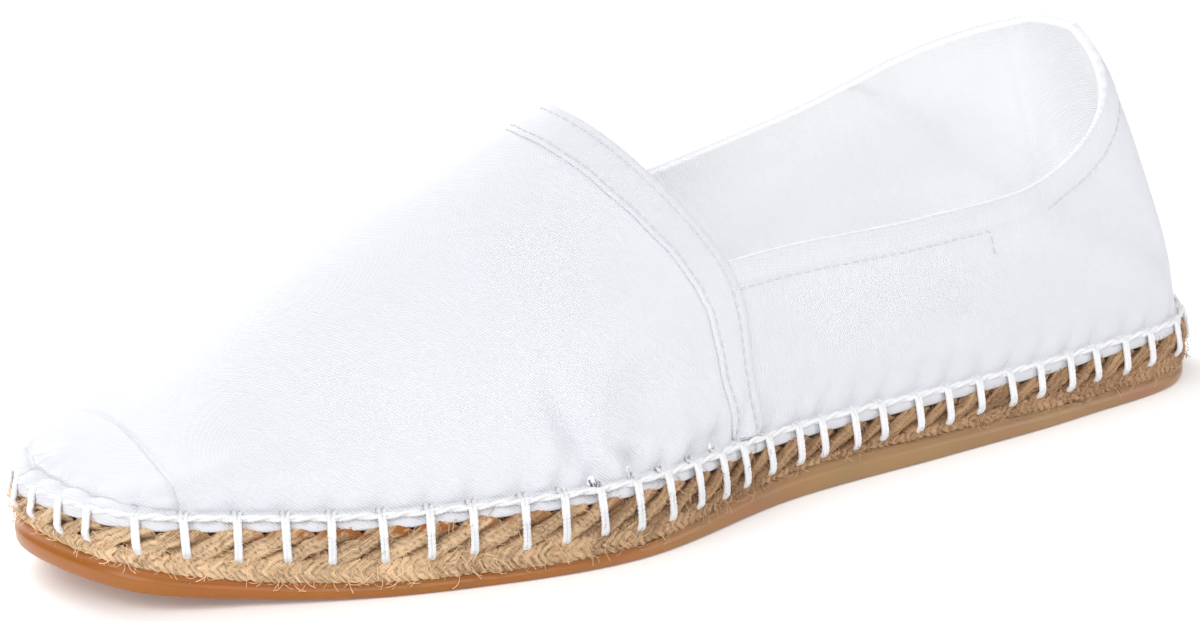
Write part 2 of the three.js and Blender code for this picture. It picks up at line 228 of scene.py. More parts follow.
def spring_at(x):
    """The ground line under the sole: flat from heel to ball, lifted at the toe."""
    toe = np.clip((x / LENGTH - 0.76) / 0.24, 0, None)
    heel = np.clip((0.06 - x / LENGTH) / 0.06, 0, None)
    return TOE_SPRING * toe ** 2 + HEEL_SPRING * heel ** 2


def section_levels(w, side):
    """Sole edge, bulge, collar line, shoulder and ridge of the sections at w."""
    edge = outline_at(w, side, UPPER_INSET)
    spine = np.column_stack([column_at("spine", w) * LENGTH, column_at("spine_side", w) * BALL_WIDTH])
    seat = spring_at(edge[:, 0]) + column_at("jute", w) * SOLE_HEIGHT + GAP
    lean = column_at("lean", w)

    def level(inward, along, height):
        x = edge[:, 0] + (spine[:, 0] - edge[:, 0]) * inward * along
        y = edge[:, 1] + (spine[:, 1] - edge[:, 1]) * inward
        return np.column_stack([x, y, seat + height * UPPER_HEIGHT])

    collar = np.where(side == LATERAL, column_at("lateral_collar", w), column_at("medial_collar", w))
    return np.stack([
        level(0 * w, 1, 0 * w),
        level(column_at("bulge_in", w), lean, column_at("bulge", w)),
        level(column_at("collar_in", w), lean, collar),
        level(column_at("shoulder_in", w), 1, column_at("shoulder", w)),
        level(0 * w + 1, 1, column_at("ridge", w)),
    ], axis=1)


def section_points(levels, v):
    """Points of every section at the level numbers v, from 0 at the sole to 4 at the ridge."""
    below = 2 * levels[:, :1] - levels[:, 1:2]
    beyond = 2 * levels[:, 4:] - levels[:, 3:4]
    beyond[:, :, 2] = levels[:, 3:4, 2]
    all_levels = np.concatenate([below, levels, beyond], axis=1)
    i = np.clip(np.floor(v).astype(int), 0, 3)
    t = (v - i)[None, :, None]
    return catmull_rom(all_levels[:, i], all_levels[:, i + 1], all_levels[:, i + 2], all_levels[:, i + 3], t)


def frame_points(points):
    """Millimetres along the shoe into Blender's metres in the shared frame."""
    return (np.asarray(points, float) - SHIFT) * MM


def frame_shift():
    """The place of the frame's origin in the shoe's own millimetres: under the middle of the outline."""
    edge = outline_curve(np.linspace(0, 2 * TOE_ROW, 2000))
    middle = (edge.min(axis=0) + edge.max(axis=0)) / 2
    return np.array([middle[0], middle[1], 0.0])


SHIFT = frame_shift()


class RingTable:
    """Places round the sole by distance from the heel, up the lateral side first."""

    def __init__(self):
        self.place = np.linspace(0, 2 * TOE_ROW, 4001)
        points = outline_curve(self.place)
        steps = np.linalg.norm(np.diff(points, axis=0), axis=1)
        self.distance = np.concatenate([[0], np.cumsum(steps)])
        self.full = self.distance[-1]

    def at(self, distance):
        """Row numbers and sides at distances round the sole."""
        place = np.interp(np.mod(distance, self.full), self.distance, self.place)
        w = np.where(place <= TOE_ROW, place, 2 * TOE_ROW - place)
        return w, np.where(place <= TOE_ROW, LATERAL, MEDIAL)

    def of(self, w, side):
        """Distance round the sole of row numbers on their sides."""
        return np.interp(np.where(side == LATERAL, w, 2 * TOE_ROW - w), self.place, self.distance)


RING = RingTable()


def jute_top(w):
    """Height of the jute's top edge."""
    return column_at("jute", w) * SOLE_HEIGHT


def rubber_rim(w):
    """Height of the rubber's rim, worn a little lower round the heel."""
    return column_at("rubber", w) * SOLE_HEIGHT - 1.1 * np.exp(-(w / 1.9) ** 2)


def jute_split(w):
    """Height of the groove between the two jute rows; the lower row sinks behind the rubber at the waist."""
    share = 0.40 - 0.24 * np.exp(-((w - 3.9) / 1.0) ** 2)
    return rubber_rim(w) + GAP + (jute_top(w) - rubber_rim(w) - GAP) * share


def stitch_places():
    """Distances round the sole of all blanket stitches, a little uneven on the medial side too."""
    rng = np.random.default_rng(11)
    first, last = LATERAL_STITCHES[0] + RING.full, LATERAL_STITCHES[-1]
    count = round((first - last) / STITCH_PITCH)
    rest = np.linspace(last, first, count + 1)[1:-1]
    return np.concatenate([LATERAL_STITCHES, rest + rng.uniform(-1, 1, count - 1) * STITCH_JITTER])


STITCHES = np.sort(np.mod(stitch_places(), RING.full))


def stitch_offset(u):
    """Signed distance round the sole to the nearest stitch, and that gap's width."""
    closed = np.concatenate([[STITCHES[-1] - RING.full], STITCHES, [STITCHES[0] + RING.full]])
    i = np.clip(np.searchsorted(closed, u), 1, len(closed) - 1)
    before, after = u - closed[i - 1], closed[i] - u
    return np.where(before < after, before, -after), before + after


# Meshes

def make_object(name, points, faces, edges=()):
    """A new object at the origin with its place in its mesh."""
    mesh = bpy.data.meshes.new(name)
    corners = [tuple(point) for point in frame_points(points)]
    mesh.from_pydata(corners, [tuple(edge) for edge in edges], [tuple(face) for face in faces])
    mesh.validate()
    mesh.update()
    piece = bpy.data.objects.new(name, mesh)
    bpy.context.scene.collection.objects.link(piece)
    return piece


def finish_piece(piece, material, nodes=()):
    """Give a piece its material, body, slot and the nodes that it stands for."""
    piece.data.materials.clear()
    piece.data.materials.append(material)
    for polygon in piece.data.polygons:
        polygon.use_smooth = True
    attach(piece, BODY)
    if nodes:
        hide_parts(*nodes)
    return piece


def add_uv(piece, coordinates):
    """A UV map in millimetres from one pair of coordinates per vertex."""
    layer = piece.data.uv_layers.new(name="UVMap")
    corners = np.empty(len(piece.data.loops), dtype=np.int32)
    piece.data.loops.foreach_get("vertex_index", corners)
    layer.data.foreach_set("uv", np.asarray(coordinates, float)[corners].astype(np.float32).ravel())


def add_values(piece, name, values):
    """An attribute with one number per vertex."""
    layer = piece.data.attributes.new(name, "FLOAT", "POINT")
    layer.data.foreach_set("value", np.asarray(values).ravel().astype(np.float32))


def turn_outwards(piece):
    """Turn a closed piece's faces outwards."""
    shape = bmesh.new()
    shape.from_mesh(piece.data)
    bmesh.ops.recalc_face_normals(shape, faces=shape.faces)
    shape.to_mesh(piece.data)
    shape.free()


def vertex_normals(points, quads):
    """Area-weighted outward normals of a sheet of quads."""
    a, b, c, d = (points[quads[:, k]] for k in range(4))
    face = np.cross(c - a, d - b)
    normals = np.zeros_like(points)
    for k in range(4):
        np.add.at(normals, quads[:, k], face)
    length = np.linalg.norm(normals, axis=1, keepdims=True)
    return normals / np.maximum(length, 1e-9)


def free_edges(quads):
    """Directed edges used by one face only, and the face of each."""
    start = quads.ravel()
    end = np.roll(quads, -1, axis=1).ravel()
    owner = np.repeat(np.arange(len(quads)), quads.shape[1])
    size = int(quads.max()) + 1
    own, other = start * size + end, end * size + start
    alone = ~np.isin(own, other) & (start != end)
    return start[alone], end[alone], owner[alone]


def shell_mesh(outer, inner, quads, rounding):
    """Points and faces of a closed shell between two sheets, its free edges rounded off."""
    count = len(outer)
    start, end, owner = free_edges(quads)
    centre = outer[quads[owner]].mean(axis=1)
    away = np.zeros_like(outer)
    for ids in (start, end):
        np.add.at(away, ids, (outer[start] + outer[end]) / 2 - centre)
    rim = np.unique(np.concatenate([start, end]))
    direction = away[rim] / np.maximum(np.linalg.norm(away[rim], axis=1, keepdims=True), 1e-9)
    middle = (outer[rim] + inner[rim]) / 2 + direction * rounding
    order = np.zeros(count, dtype=int)
    order[rim] = np.arange(len(rim)) + 2 * count
    points = np.concatenate([outer, inner, middle])
    faces = [quads, quads[:, ::-1] + count]
    faces.append(np.column_stack([end, start, order[start], order[end]]))
    faces.append(np.column_stack([order[end], order[start], start + count, end + count]))
    return points, np.concatenate(faces)


def clean_faces(faces):
    """Faces as lists with repeated corners dropped."""
    out = []
    for face in faces:
        corners = [int(face[k]) for k in range(len(face)) if face[k] != face[k - 1]]
        if len(corners) > 2:
            out.append(corners)
    return out


def ring_solid(name, rings):
    """A closed solid from rings of points, the first and last closed across the shoe."""
    size = len(rings[0])
    points = np.concatenate(rings)
    faces = []
    for level in range(len(rings) - 1):
        for i in range(size):
            a, b = level * size + i, level * size + (i + 1) % size
            faces.append((a, a + size, b + size, b))
    half = size // 2
    for first, flip in ((0, False), ((len(rings) - 1) * size, True)):
        for i in range(half):
            a, b = first + i, first + i + 1
            face = [a, b, first + (size - i - 1) % size, first + (size - i) % size]
            faces.append(face[::-1] if flip else face)
    return make_object(name, points, clean_faces(faces))


def partner_planes(step):
    """Row numbers heel to toe at about even steps, shared by both sides."""
    count = int(RING.full / 2 / step)
    place = np.linspace(0, 1, 2001)
    w = place * TOE_ROW
    travel = (RING.of(w, np.full_like(w, LATERAL)) + RING.full - RING.of(w, np.full_like(w, MEDIAL))) / 2
    return np.interp(np.linspace(0, travel[-1], count + 1), travel, w)


def sole_ring(planes, inset, height):
    """A ring round the sole; inset and height are functions of the row number and the distance round."""
    w = np.concatenate([planes, planes[-2:0:-1]])
    side = np.concatenate([np.full(len(planes), LATERAL), np.full(len(planes) - 2, MEDIAL)])
    u = RING.of(w, side)
    points = outline_at(w, side, inset(w, u))
    return np.column_stack([points, spring_at(points[:, 0]) + height(w, u)])


def even(value):
    """The same inset or height all round the sole."""
    return lambda w, u: np.full_like(w, value)


# Geometry Nodes

def new_tree(name, sockets):
    """A Geometry Nodes tree with the named inputs; returns it with its input and output nodes."""
    tree = bpy.data.node_groups.new(name, "GeometryNodeTree")
    tree.interface.new_socket(name="Geometry", in_out="INPUT", socket_type="NodeSocketGeometry")
    for label, kind in sockets:
        tree.interface.new_socket(name=label, in_out="INPUT", socket_type="NodeSocket" + kind)
    tree.interface.new_socket(name="Geometry", in_out="OUTPUT", socket_type="NodeSocketGeometry")
    return tree, tree.nodes.new("NodeGroupInput"), tree.nodes.new("NodeGroupOutput")


def add_node(tree, kind, settings=(), **links):
    """Add a node; links give each input a value or another node's output socket."""
    node = tree.nodes.new(kind)
    for key, value in dict(settings).items():
        setattr(node, key, value)
    for label, value in links.items():
        key = label.replace("_", " ")
        socket = node.inputs[int(key[1:])] if key[0] == "n" and key[1:].isdigit() else node.inputs[key]
        if isinstance(value, bpy.types.NodeSocket):
            tree.links.new(value, socket)
        else:
            socket.default_value = value
    return node


def arithmetic(tree, operation, *numbers):
    """The result of a Math node on numbers or sockets."""
    inputs = {"n%d" % i: number for i, number in enumerate(numbers)}
    return add_node(tree, "ShaderNodeMath", {"operation": operation}, **inputs).outputs[0]


def run_tree(piece, tree, **values):
    """Run a tree on an object and keep the result as its plain mesh."""
    modifier = piece.modifiers.new(tree.name, "NODES")
    modifier.node_group = tree
    for item in tree.interface.items_tree:
        key = item.name.replace(" ", "_")
        if item.item_type == "SOCKET" and item.in_out == "INPUT" and key in values:
            modifier[item.identifier] = values[key]
    shown = piece.evaluated_get(bpy.context.evaluated_depsgraph_get())
    mesh = bpy.data.meshes.new_from_object(shown)
    piece.modifiers.clear()
    piece.data = mesh
    return piece


def sweep_tree():
    """A lobed strand swept along each line of points, turned by its tilt."""
    tree, given, result = new_tree("Twisted strand", [
        ("Radius", "Float"), ("Lobes", "Float"), ("Lobe Depth", "Float"), ("Sides", "Int"),
        ("Material", "Material")])
    curve = add_node(tree, "GeometryNodeMeshToCurve", Mesh=given.outputs["Geometry"])
    tilt = add_node(tree, "GeometryNodeInputNamedAttribute", {"data_type": "FLOAT"}, Name="twist")
    tilted = add_node(tree, "GeometryNodeSetCurveTilt", Curve=curve.outputs[0], Tilt=tilt.outputs[0])
    thick = add_node(tree, "GeometryNodeInputNamedAttribute", {"data_type": "FLOAT"}, Name="thickness")
    circle = add_node(tree, "GeometryNodeCurvePrimitiveCircle", Resolution=given.outputs["Sides"],
                      Radius=1.0)
    index = add_node(tree, "GeometryNodeInputIndex")
    turn = arithmetic(tree, "DIVIDE", index.outputs[0], given.outputs["Sides"])
    waves = arithmetic(tree, "MULTIPLY", turn, given.outputs["Lobes"])
    wave = arithmetic(tree, "COSINE", arithmetic(tree, "MULTIPLY", waves, 2 * math.pi))
    deep = arithmetic(tree, "MULTIPLY_ADD", wave, given.outputs["Lobe Depth"], 1.0)
    size = arithmetic(tree, "MULTIPLY", deep, given.outputs["Radius"])
    place = add_node(tree, "GeometryNodeInputPosition")
    scaled = add_node(tree, "ShaderNodeVectorMath", {"operation": "SCALE"}, n0=place.outputs[0], Scale=size)
    profile = add_node(tree, "GeometryNodeSetPosition", Geometry=circle.outputs[0],
                       Position=scaled.outputs[0])
    mesh = add_node(tree, "GeometryNodeCurveToMesh", Curve=tilted.outputs[0],
                    Profile_Curve=profile.outputs[0], Scale=thick.outputs[0], Fill_Caps=True)
    finish_tree(tree, mesh.outputs[0], given, result)
    return tree


def finish_tree(tree, geometry, given, result):
    """End a tree in Realize Instances and Set Material."""
    real = add_node(tree, "GeometryNodeRealizeInstances", Geometry=geometry)
    painted = add_node(tree, "GeometryNodeSetMaterial", Geometry=real.outputs[0],
                       Material=given.outputs["Material"])
    tree.links.new(painted.outputs[0], result.inputs[0])


def seam_tree():
    """Short thread stitches at even steps along each line of points."""
    tree, given, result = new_tree("Seam stitches", [
        ("Pitch", "Float"), ("Stitch Length", "Float"), ("Thread Radius", "Float"),
        ("Material", "Material")])
    curve = add_node(tree, "GeometryNodeMeshToCurve", Mesh=given.outputs["Geometry"])
    points = add_node(tree, "GeometryNodeCurveToPoints", {"mode": "LENGTH"}, Curve=curve.outputs[0],
                      Length=given.outputs["Pitch"])
    ball = add_node(tree, "GeometryNodeMeshUVSphere", Segments=8, Rings=6,
                    Radius=given.outputs["Thread Radius"])
    half = arithmetic(tree, "DIVIDE", given.outputs["Stitch Length"], 2.0)
    stretch = arithmetic(tree, "DIVIDE", half, given.outputs["Thread Radius"])
    scale = add_node(tree, "ShaderNodeCombineXYZ", X=1.0, Y=1.0, Z=stretch)
    long = add_node(tree, "GeometryNodeTransform", Geometry=ball.outputs[0], Scale=scale.outputs[0])
    placed = add_node(tree, "GeometryNodeInstanceOnPoints", Points=points.outputs["Points"],
                      Instance=long.outputs[0], Rotation=points.outputs["Rotation"])
    finish_tree(tree, placed.outputs[0], given, result)
    return tree


def fibre_tree():
    """Bent fibres standing out of a surface at random, of random lengths."""
    tree, given, result = new_tree("Loose fibres", [
        ("Density", "Float"), ("Shortest", "Float"), ("Longest", "Float"), ("Fibre Radius", "Float"),
        ("Seed", "Int"), ("Material", "Material")])
    spread = add_node(tree, "GeometryNodeDistributePointsOnFaces", Mesh=given.outputs["Geometry"],
                      Density=given.outputs["Density"], Seed=given.outputs["Seed"])
    bend = add_node(tree, "GeometryNodeCurveQuadraticBezier", Resolution=5, Start=(0, 0, -0.1),
                    Middle=(0.45, 0.1, 0.42), End=(1.0, 0.35, 0.18))
    circle = add_node(tree, "GeometryNodeCurvePrimitiveCircle", Resolution=3,
                      Radius=given.outputs["Fibre Radius"])
    hair = add_node(tree, "GeometryNodeCurveToMesh", Curve=bend.outputs[0], Profile_Curve=circle.outputs[0])
    turn = add_node(tree, "FunctionNodeRandomValue", {"data_type": "FLOAT_VECTOR"}, n0=(-0.5, -0.5, -3.14),
                    n1=(0.5, 0.5, 3.14), Seed=given.outputs["Seed"])
    aim = add_node(tree, "FunctionNodeRotateRotation", {"rotation_space": "LOCAL"},
                   Rotation=spread.outputs["Rotation"], Rotate_By=turn.outputs[0])
    size = add_node(tree, "FunctionNodeRandomValue", {"data_type": "FLOAT"}, n2=given.outputs["Shortest"],
                    n3=given.outputs["Longest"], Seed=given.outputs["Seed"])
    placed = add_node(tree, "GeometryNodeInstanceOnPoints", Points=spread.outputs["Points"],
                      Instance=hair.outputs[0], Rotation=aim.outputs[0], Scale=size.outputs[1])
    finish_tree(tree, placed.outputs[0], given, result)
    return tree


def lines_object(name, lines, closed=False, **attributes):
    """An object of edge lines; each attribute holds one array per line."""
    points, edges, first = [], [], 0
    for line in lines:
        count = len(line)
        points.append(line)
        edges += [(first + i, first + i + 1) for i in range(count - 1)]
        if closed:
            edges.append((first + count - 1, first))
        first += count
    piece = make_object(name, np.concatenate(points), [], edges)
    for key, arrays in attributes.items():
        add_values(piece, key, np.concatenate(arrays))
    return piece


# Materials

# Cloth: slant of the ribs in degrees and their depth, for each cloth
RIBS = {"white_twill": (34, 0.12), "cotton_tape": (28, 0.14), "cap_twill": (40, 0.12), "lining": (0, 0.15)}

# Cloth: wave scale for ribs one millimetre apart, painted shade between ribs, tint of faint blotches, the
# inside face's painted light
WAVES_PER_PITCH = 0.314
RIB_SHADE = 0.87
BLOTCH_TINT = (0.965, 0.97, 0.985)
# painted light: the inside face is drawn near white and glows faintly, though it is the same cloth as the
# outside
INSIDE_PAINTED_LIGHT_COLOUR = (0.975, 0.98, 1.0)
INSIDE_PAINTED_GLOW = 0.055
SOCK_COLOUR = (0.80, 0.81, 0.84)
SOCK_RIB_PITCH = 0.9

# Jute and rubber: streaks across and along a yarn, tints, and where along X the colours change, in metres
STREAK_SCALE = (4.5, 0.35, 1)
REAR_TINT = (0.62, 0.535, 0.475)
GLUE_COLOUR = (0.40, 0.13, 0.025)
JUTE_TURNS_BROWN = (0.075, 0.005)
RUBBER_TURNS_WARM = (-0.03, 0.06)


def new_material(name):
    """An empty node material; returns it with its shader node."""
    material = bpy.data.materials.new(name)
    material.use_nodes = True
    return material, material.node_tree, material.node_tree.nodes["Principled BSDF"]


def noise(tree, vector, scale, detail=2.0, **more):
    """The value of a noise pattern."""
    return add_node(tree, "ShaderNodeTexNoise", Vector=vector, Scale=scale, Detail=detail, **more).outputs[0]


def blend(tree, share, first, second, way="MIX"):
    """A mix of two colours, each of them three numbers or a socket."""
    def opaque(colour):
        return colour if isinstance(colour, bpy.types.NodeSocket) else tuple(colour) + (1.0,)

    kind = {"data_type": "RGBA", "blend_type": way}
    return add_node(tree, "ShaderNodeMix", kind, n0=share, n6=opaque(first), n7=opaque(second)).outputs[2]


def span(tree, value, low, high, **to):
    """A value stretched from low and high to 0 and 1, or to other ends."""
    return add_node(tree, "ShaderNodeMapRange", Value=value, From_Min=low, From_Max=high, **to).outputs[0]


def attribute(tree, name):
    """The value of one of the mesh's own attributes."""
    return add_node(tree, "ShaderNodeAttribute", {"attribute_name": name}).outputs["Fac"]


def finish_shader(tree, shader, colour, height, strength, distance, roughness):
    """Give a shader its colour, its relief in millimetres and its roughness."""
    tree.links.new(colour, shader.inputs["Base Color"])
    relief = add_node(tree, "ShaderNodeBump", Strength=strength, Distance=distance * MM, Height=height)
    tree.links.new(relief.outputs[0], shader.inputs["Normal"])
    shader.inputs["Roughness"].default_value = roughness


def cloth_material(name, colour, rib_pitch):
    """Cotton twill: slanting ribs from the UV map, in millimetres; the inside is painted near white with a
    faint painted glow, standing in for light through the thin cloth.
    """
    material, tree, shader = new_material(name)
    slant, depth = RIBS[name]
    uv = add_node(tree, "ShaderNodeUVMap", {"uv_map": "UVMap"}).outputs[0]
    turn = (0, 0, math.radians(slant))
    turned = add_node(tree, "ShaderNodeMapping", Vector=uv, Rotation=turn).outputs[0]
    ribs = add_node(tree, "ShaderNodeTexWave", {"wave_type": "BANDS", "bands_direction": "X"},
                    Vector=turned, Scale=WAVES_PER_PITCH / rib_pitch, Distortion=0.6, Detail=1.0,
                    Detail_Scale=0.6).outputs["Fac"]
    # painted shade: the cloth is drawn darker between its ribs
    ribbed = blend(tree, ribs, [c * RIB_SHADE for c in colour], colour)
    # darker, bluer tone in broad blotches spread at random by noise
    blotch_tone = [c * part for c, part in zip(colour, BLOTCH_TINT)]
    mixed = blend(tree, noise(tree, uv, 0.06, 3.0), blotch_tone, ribbed)
    inside = attribute(tree, "inside")
    # painted light: the inside face is drawn near white with a faint glow, standing in for light on and
    # through the cloth
    inside_painted_light = blend(tree, inside, mixed, INSIDE_PAINTED_LIGHT_COLOUR)
    tree.links.new(arithmetic(tree, "MULTIPLY", inside, INSIDE_PAINTED_GLOW), shader.inputs["Emission Strength"])
    shader.inputs["Emission Color"].default_value = (1, 1, 1, 1)
    slub = arithmetic(tree, "MULTIPLY_ADD", noise(tree, turned, 1.4), 0.07, ribs)
    finish_shader(tree, shader, inside_painted_light, slub, 0.75, depth, 0.92)
    shader.inputs["Sheen Weight"].default_value = 0.25
    shader.inputs["Specular IOR Level"].default_value = 0.25
    return material


def thread_material(name, colour):
    """White cotton thread with a fine grain."""
    material, tree, shader = new_material(name)
    place = add_node(tree, "ShaderNodeTexCoord").outputs["Object"]
    grain = noise(tree, place, 2600.0)
    mixed = blend(tree, grain, [c * 0.9 for c in colour], colour)
    finish_shader(tree, shader, mixed, grain, 0.5, 0.1, 0.8)
    return material


def jute_material(name, dark, light, crowned=True):
    """Jute: long streaks along each yarn, painted shade in the grooves, browner behind, with a few spots of
    glue.
    """
    material, tree, shader = new_material(name)
    place = add_node(tree, "ShaderNodeTexCoord").outputs["Object"]
    uv = add_node(tree, "ShaderNodeUVMap", {"uv_map": "UVMap"}).outputs[0]
    stretched = add_node(tree, "ShaderNodeMapping", Vector=uv, Scale=STREAK_SCALE).outputs[0]
    streak = noise(tree, stretched, 1.0, 3.0, Roughness=0.65)
    fine = arithmetic(tree, "MULTIPLY_ADD", noise(tree, place, 1500.0), 0.3, streak)
    value = arithmetic(tree, "MULTIPLY_ADD", noise(tree, place, 130.0), 0.5, fine)
    level = span(tree, value, 0.64, 0.96)
    if crowned:
        # painted shade: each yarn is darker off its crown and in the grooves by the stitches, lighter on
        # top; each yarn's random tone is mixed in
        raised = span(tree, attribute(tree, "crown"), 0.05, 0.8, To_Min=0.15, To_Max=1.1)
        level = arithmetic(tree, "MULTIPLY", level, raised)
    straw = blend(tree, level, dark, light)
    along = add_node(tree, "ShaderNodeSeparateXYZ", Vector=place).outputs["X"]
    brown = blend(tree, span(tree, along, *JUTE_TURNS_BROWN), straw, REAR_TINT, "MULTIPLY")
    spots = span(tree, noise(tree, place, 420.0), 0.43, 0.53)
    glued = arithmetic(tree, "MULTIPLY", attribute(tree, "stain"), spots)
    finish_shader(tree, shader, blend(tree, glued, brown, GLUE_COLOUR), fine, 1.0, 0.45, 0.9)
    return material


def rubber_material(name, toe_colour, heel_colour):
    """Gum rubber: warmer at the toe, browner at the heel, with faint mottling."""
    material, tree, shader = new_material(name)
    place = add_node(tree, "ShaderNodeTexCoord").outputs["Object"]
    along = add_node(tree, "ShaderNodeSeparateXYZ", Vector=place).outputs["X"]
    base = blend(tree, span(tree, along, *RUBBER_TURNS_WARM), heel_colour, toe_colour)
    mottle = add_node(tree, "ShaderNodeTexNoise", Vector=place, Scale=60.0, Detail=4.0).outputs["Color"]
    mixed = blend(tree, 0.35, base, mottle, "MULTIPLY")
    finish_shader(tree, shader, mixed, noise(tree, place, 700.0), 0.15, 0.1, 0.3)
    return material


def floor_material(name, colour):
    """Pale matt studio floor, a little lit from below as a light table is."""
    material, _, shader = new_material(name)
    shader.inputs["Base Color"].default_value = tuple(colour) + (1.0,)
    shader.inputs["Roughness"].default_value = 0.8
    shader.inputs["Emission Color"].default_value = (1, 1, 1, 1)
    shader.inputs["Emission Strength"].default_value = FLOOR_GLOW
    return material


# The cloth sheet of the upper

# Rows of the grid up the cloth: in the band, to the collar line, in the hem, over the crown; columns
# under the tape; steps of a section from the sole to the ridge, of which half are below the collar line
BAND_ROWS = 14
SIDE_ROWS = 45
HEM_ROWS = 10
CROWN_ROWS = 30
TAPE_COLUMNS = 14
SECTION_STEPS = 96

# The ridge: passes that soften it, and the width in rows that they reach
RIDGE_PASSES = 60
RIDGE_REACH = 13.0

# The hem: height, thickness, width, and the groove of its seam below the edge; its seam's row and ends
HEM_FOLD = 7.4
HEM_STEP = 0.45
HEM_WIDTH = 6.9
HEM_GROOVE = 5.9
HEM_SEAM_ROW = SIDE_ROWS - 9
HEM_SEAM_END = 2.6
HEEL_SEAM_START = 2.1

# Seams: their distance from the tape's edges, height over the cloth and share of the pitch with thread
TAPE_SEAM = 1.3
SEAM_LIFT = 0.12
THREAD_SHARE = 0.8

# Length of the shoe between two rows at the toe cap's seam
CAP_ROW_SPACING = 0.128 * LENGTH

# The tape's section round the throat's edge and along the inside: distance in front of the edge, height
TAPE_EDGE = ((-0.55, 0.55), (-0.9, 0.0), (-1.0, -0.7), (-0.8, -1.6), (-0.2, -2.15), (0.8, -2.3),
             (4.2, -2.25), (4.4, -1.9), (4.2, -1.68), (0.4, -1.65), (-0.3, -1.2), (-0.4, -0.4),
             (-0.05, 0.06))

# Creases laid on the cloth. side; start and end as (row number, share of the section's height to
# the collar line, above 1 on the crown); depth (negative is a trough) and half width in millimetres
CREASES = (
    (LATERAL, (2.08, 0.96), (0.94, 0.23), -2.4, 4.0),
    (LATERAL, (2.29, 0.72), (1.15, 0.15), 1.5, 6.0),
    (LATERAL, (5.28, 0.62), (5.22, 0.08), -3.2, 3.0),
    (LATERAL, (5.12, 0.30), (5.03, 0.09), 2.2, 2.3),
    (LATERAL, (5.08, 0.27), (4.88, 0.09), -2.8, 2.5),
    (LATERAL, (4.80, 0.18), (4.52, 0.24), 1.8, 3.0),
    (LATERAL, (4.64, 0.12), (4.36, 0.15), -1.4, 2.2),
    (LATERAL, (5.02, 0.55), (4.60, 0.38), -2.6, 8.0),
    (LATERAL, (3.95, 0.75), (3.70, 0.45), -0.9, 4.0),
    (LATERAL, (3.40, 0.80), (2.60, 0.75), 0.9, 5.0),
    (LATERAL, (3.05, 0.42), (2.70, 0.38), -0.9, 4.0),
    (LATERAL, (4.08, 0.10), (3.90, 0.16), 1.2, 1.6),
    (MEDIAL, (2.1, 0.8), (0.7, 0.4), -1.0, 6.0),
    (MEDIAL, (5.6, 0.15), (5.0, 0.7), -0.6, 4.0),
    (MEDIAL, (3.9, 0.25), (2.7, 0.5), 0.8, 7.0),
    (MEDIAL, (1.25, 0.95), (1.08, 0.30), -0.2, 1.6),
)


def smooth(value, low, high):
    """A soft step from 0 at low to 1 at high."""
    t = np.clip((value - low) / (high - low), 0, 1)
    return t * t * (3 - 2 * t)


def rim_height(w):
    """Height of the folded band over the sole along the cloth, taller round the toe."""
    return 3.2 + 3.6 * smooth(w, 7.5, 8.8)


def toe_tuck(w):
    """How far band, yarns and stitches draw in at the tip of the toe."""
    return 0.9 * smooth(w, 8.1, 8.9)


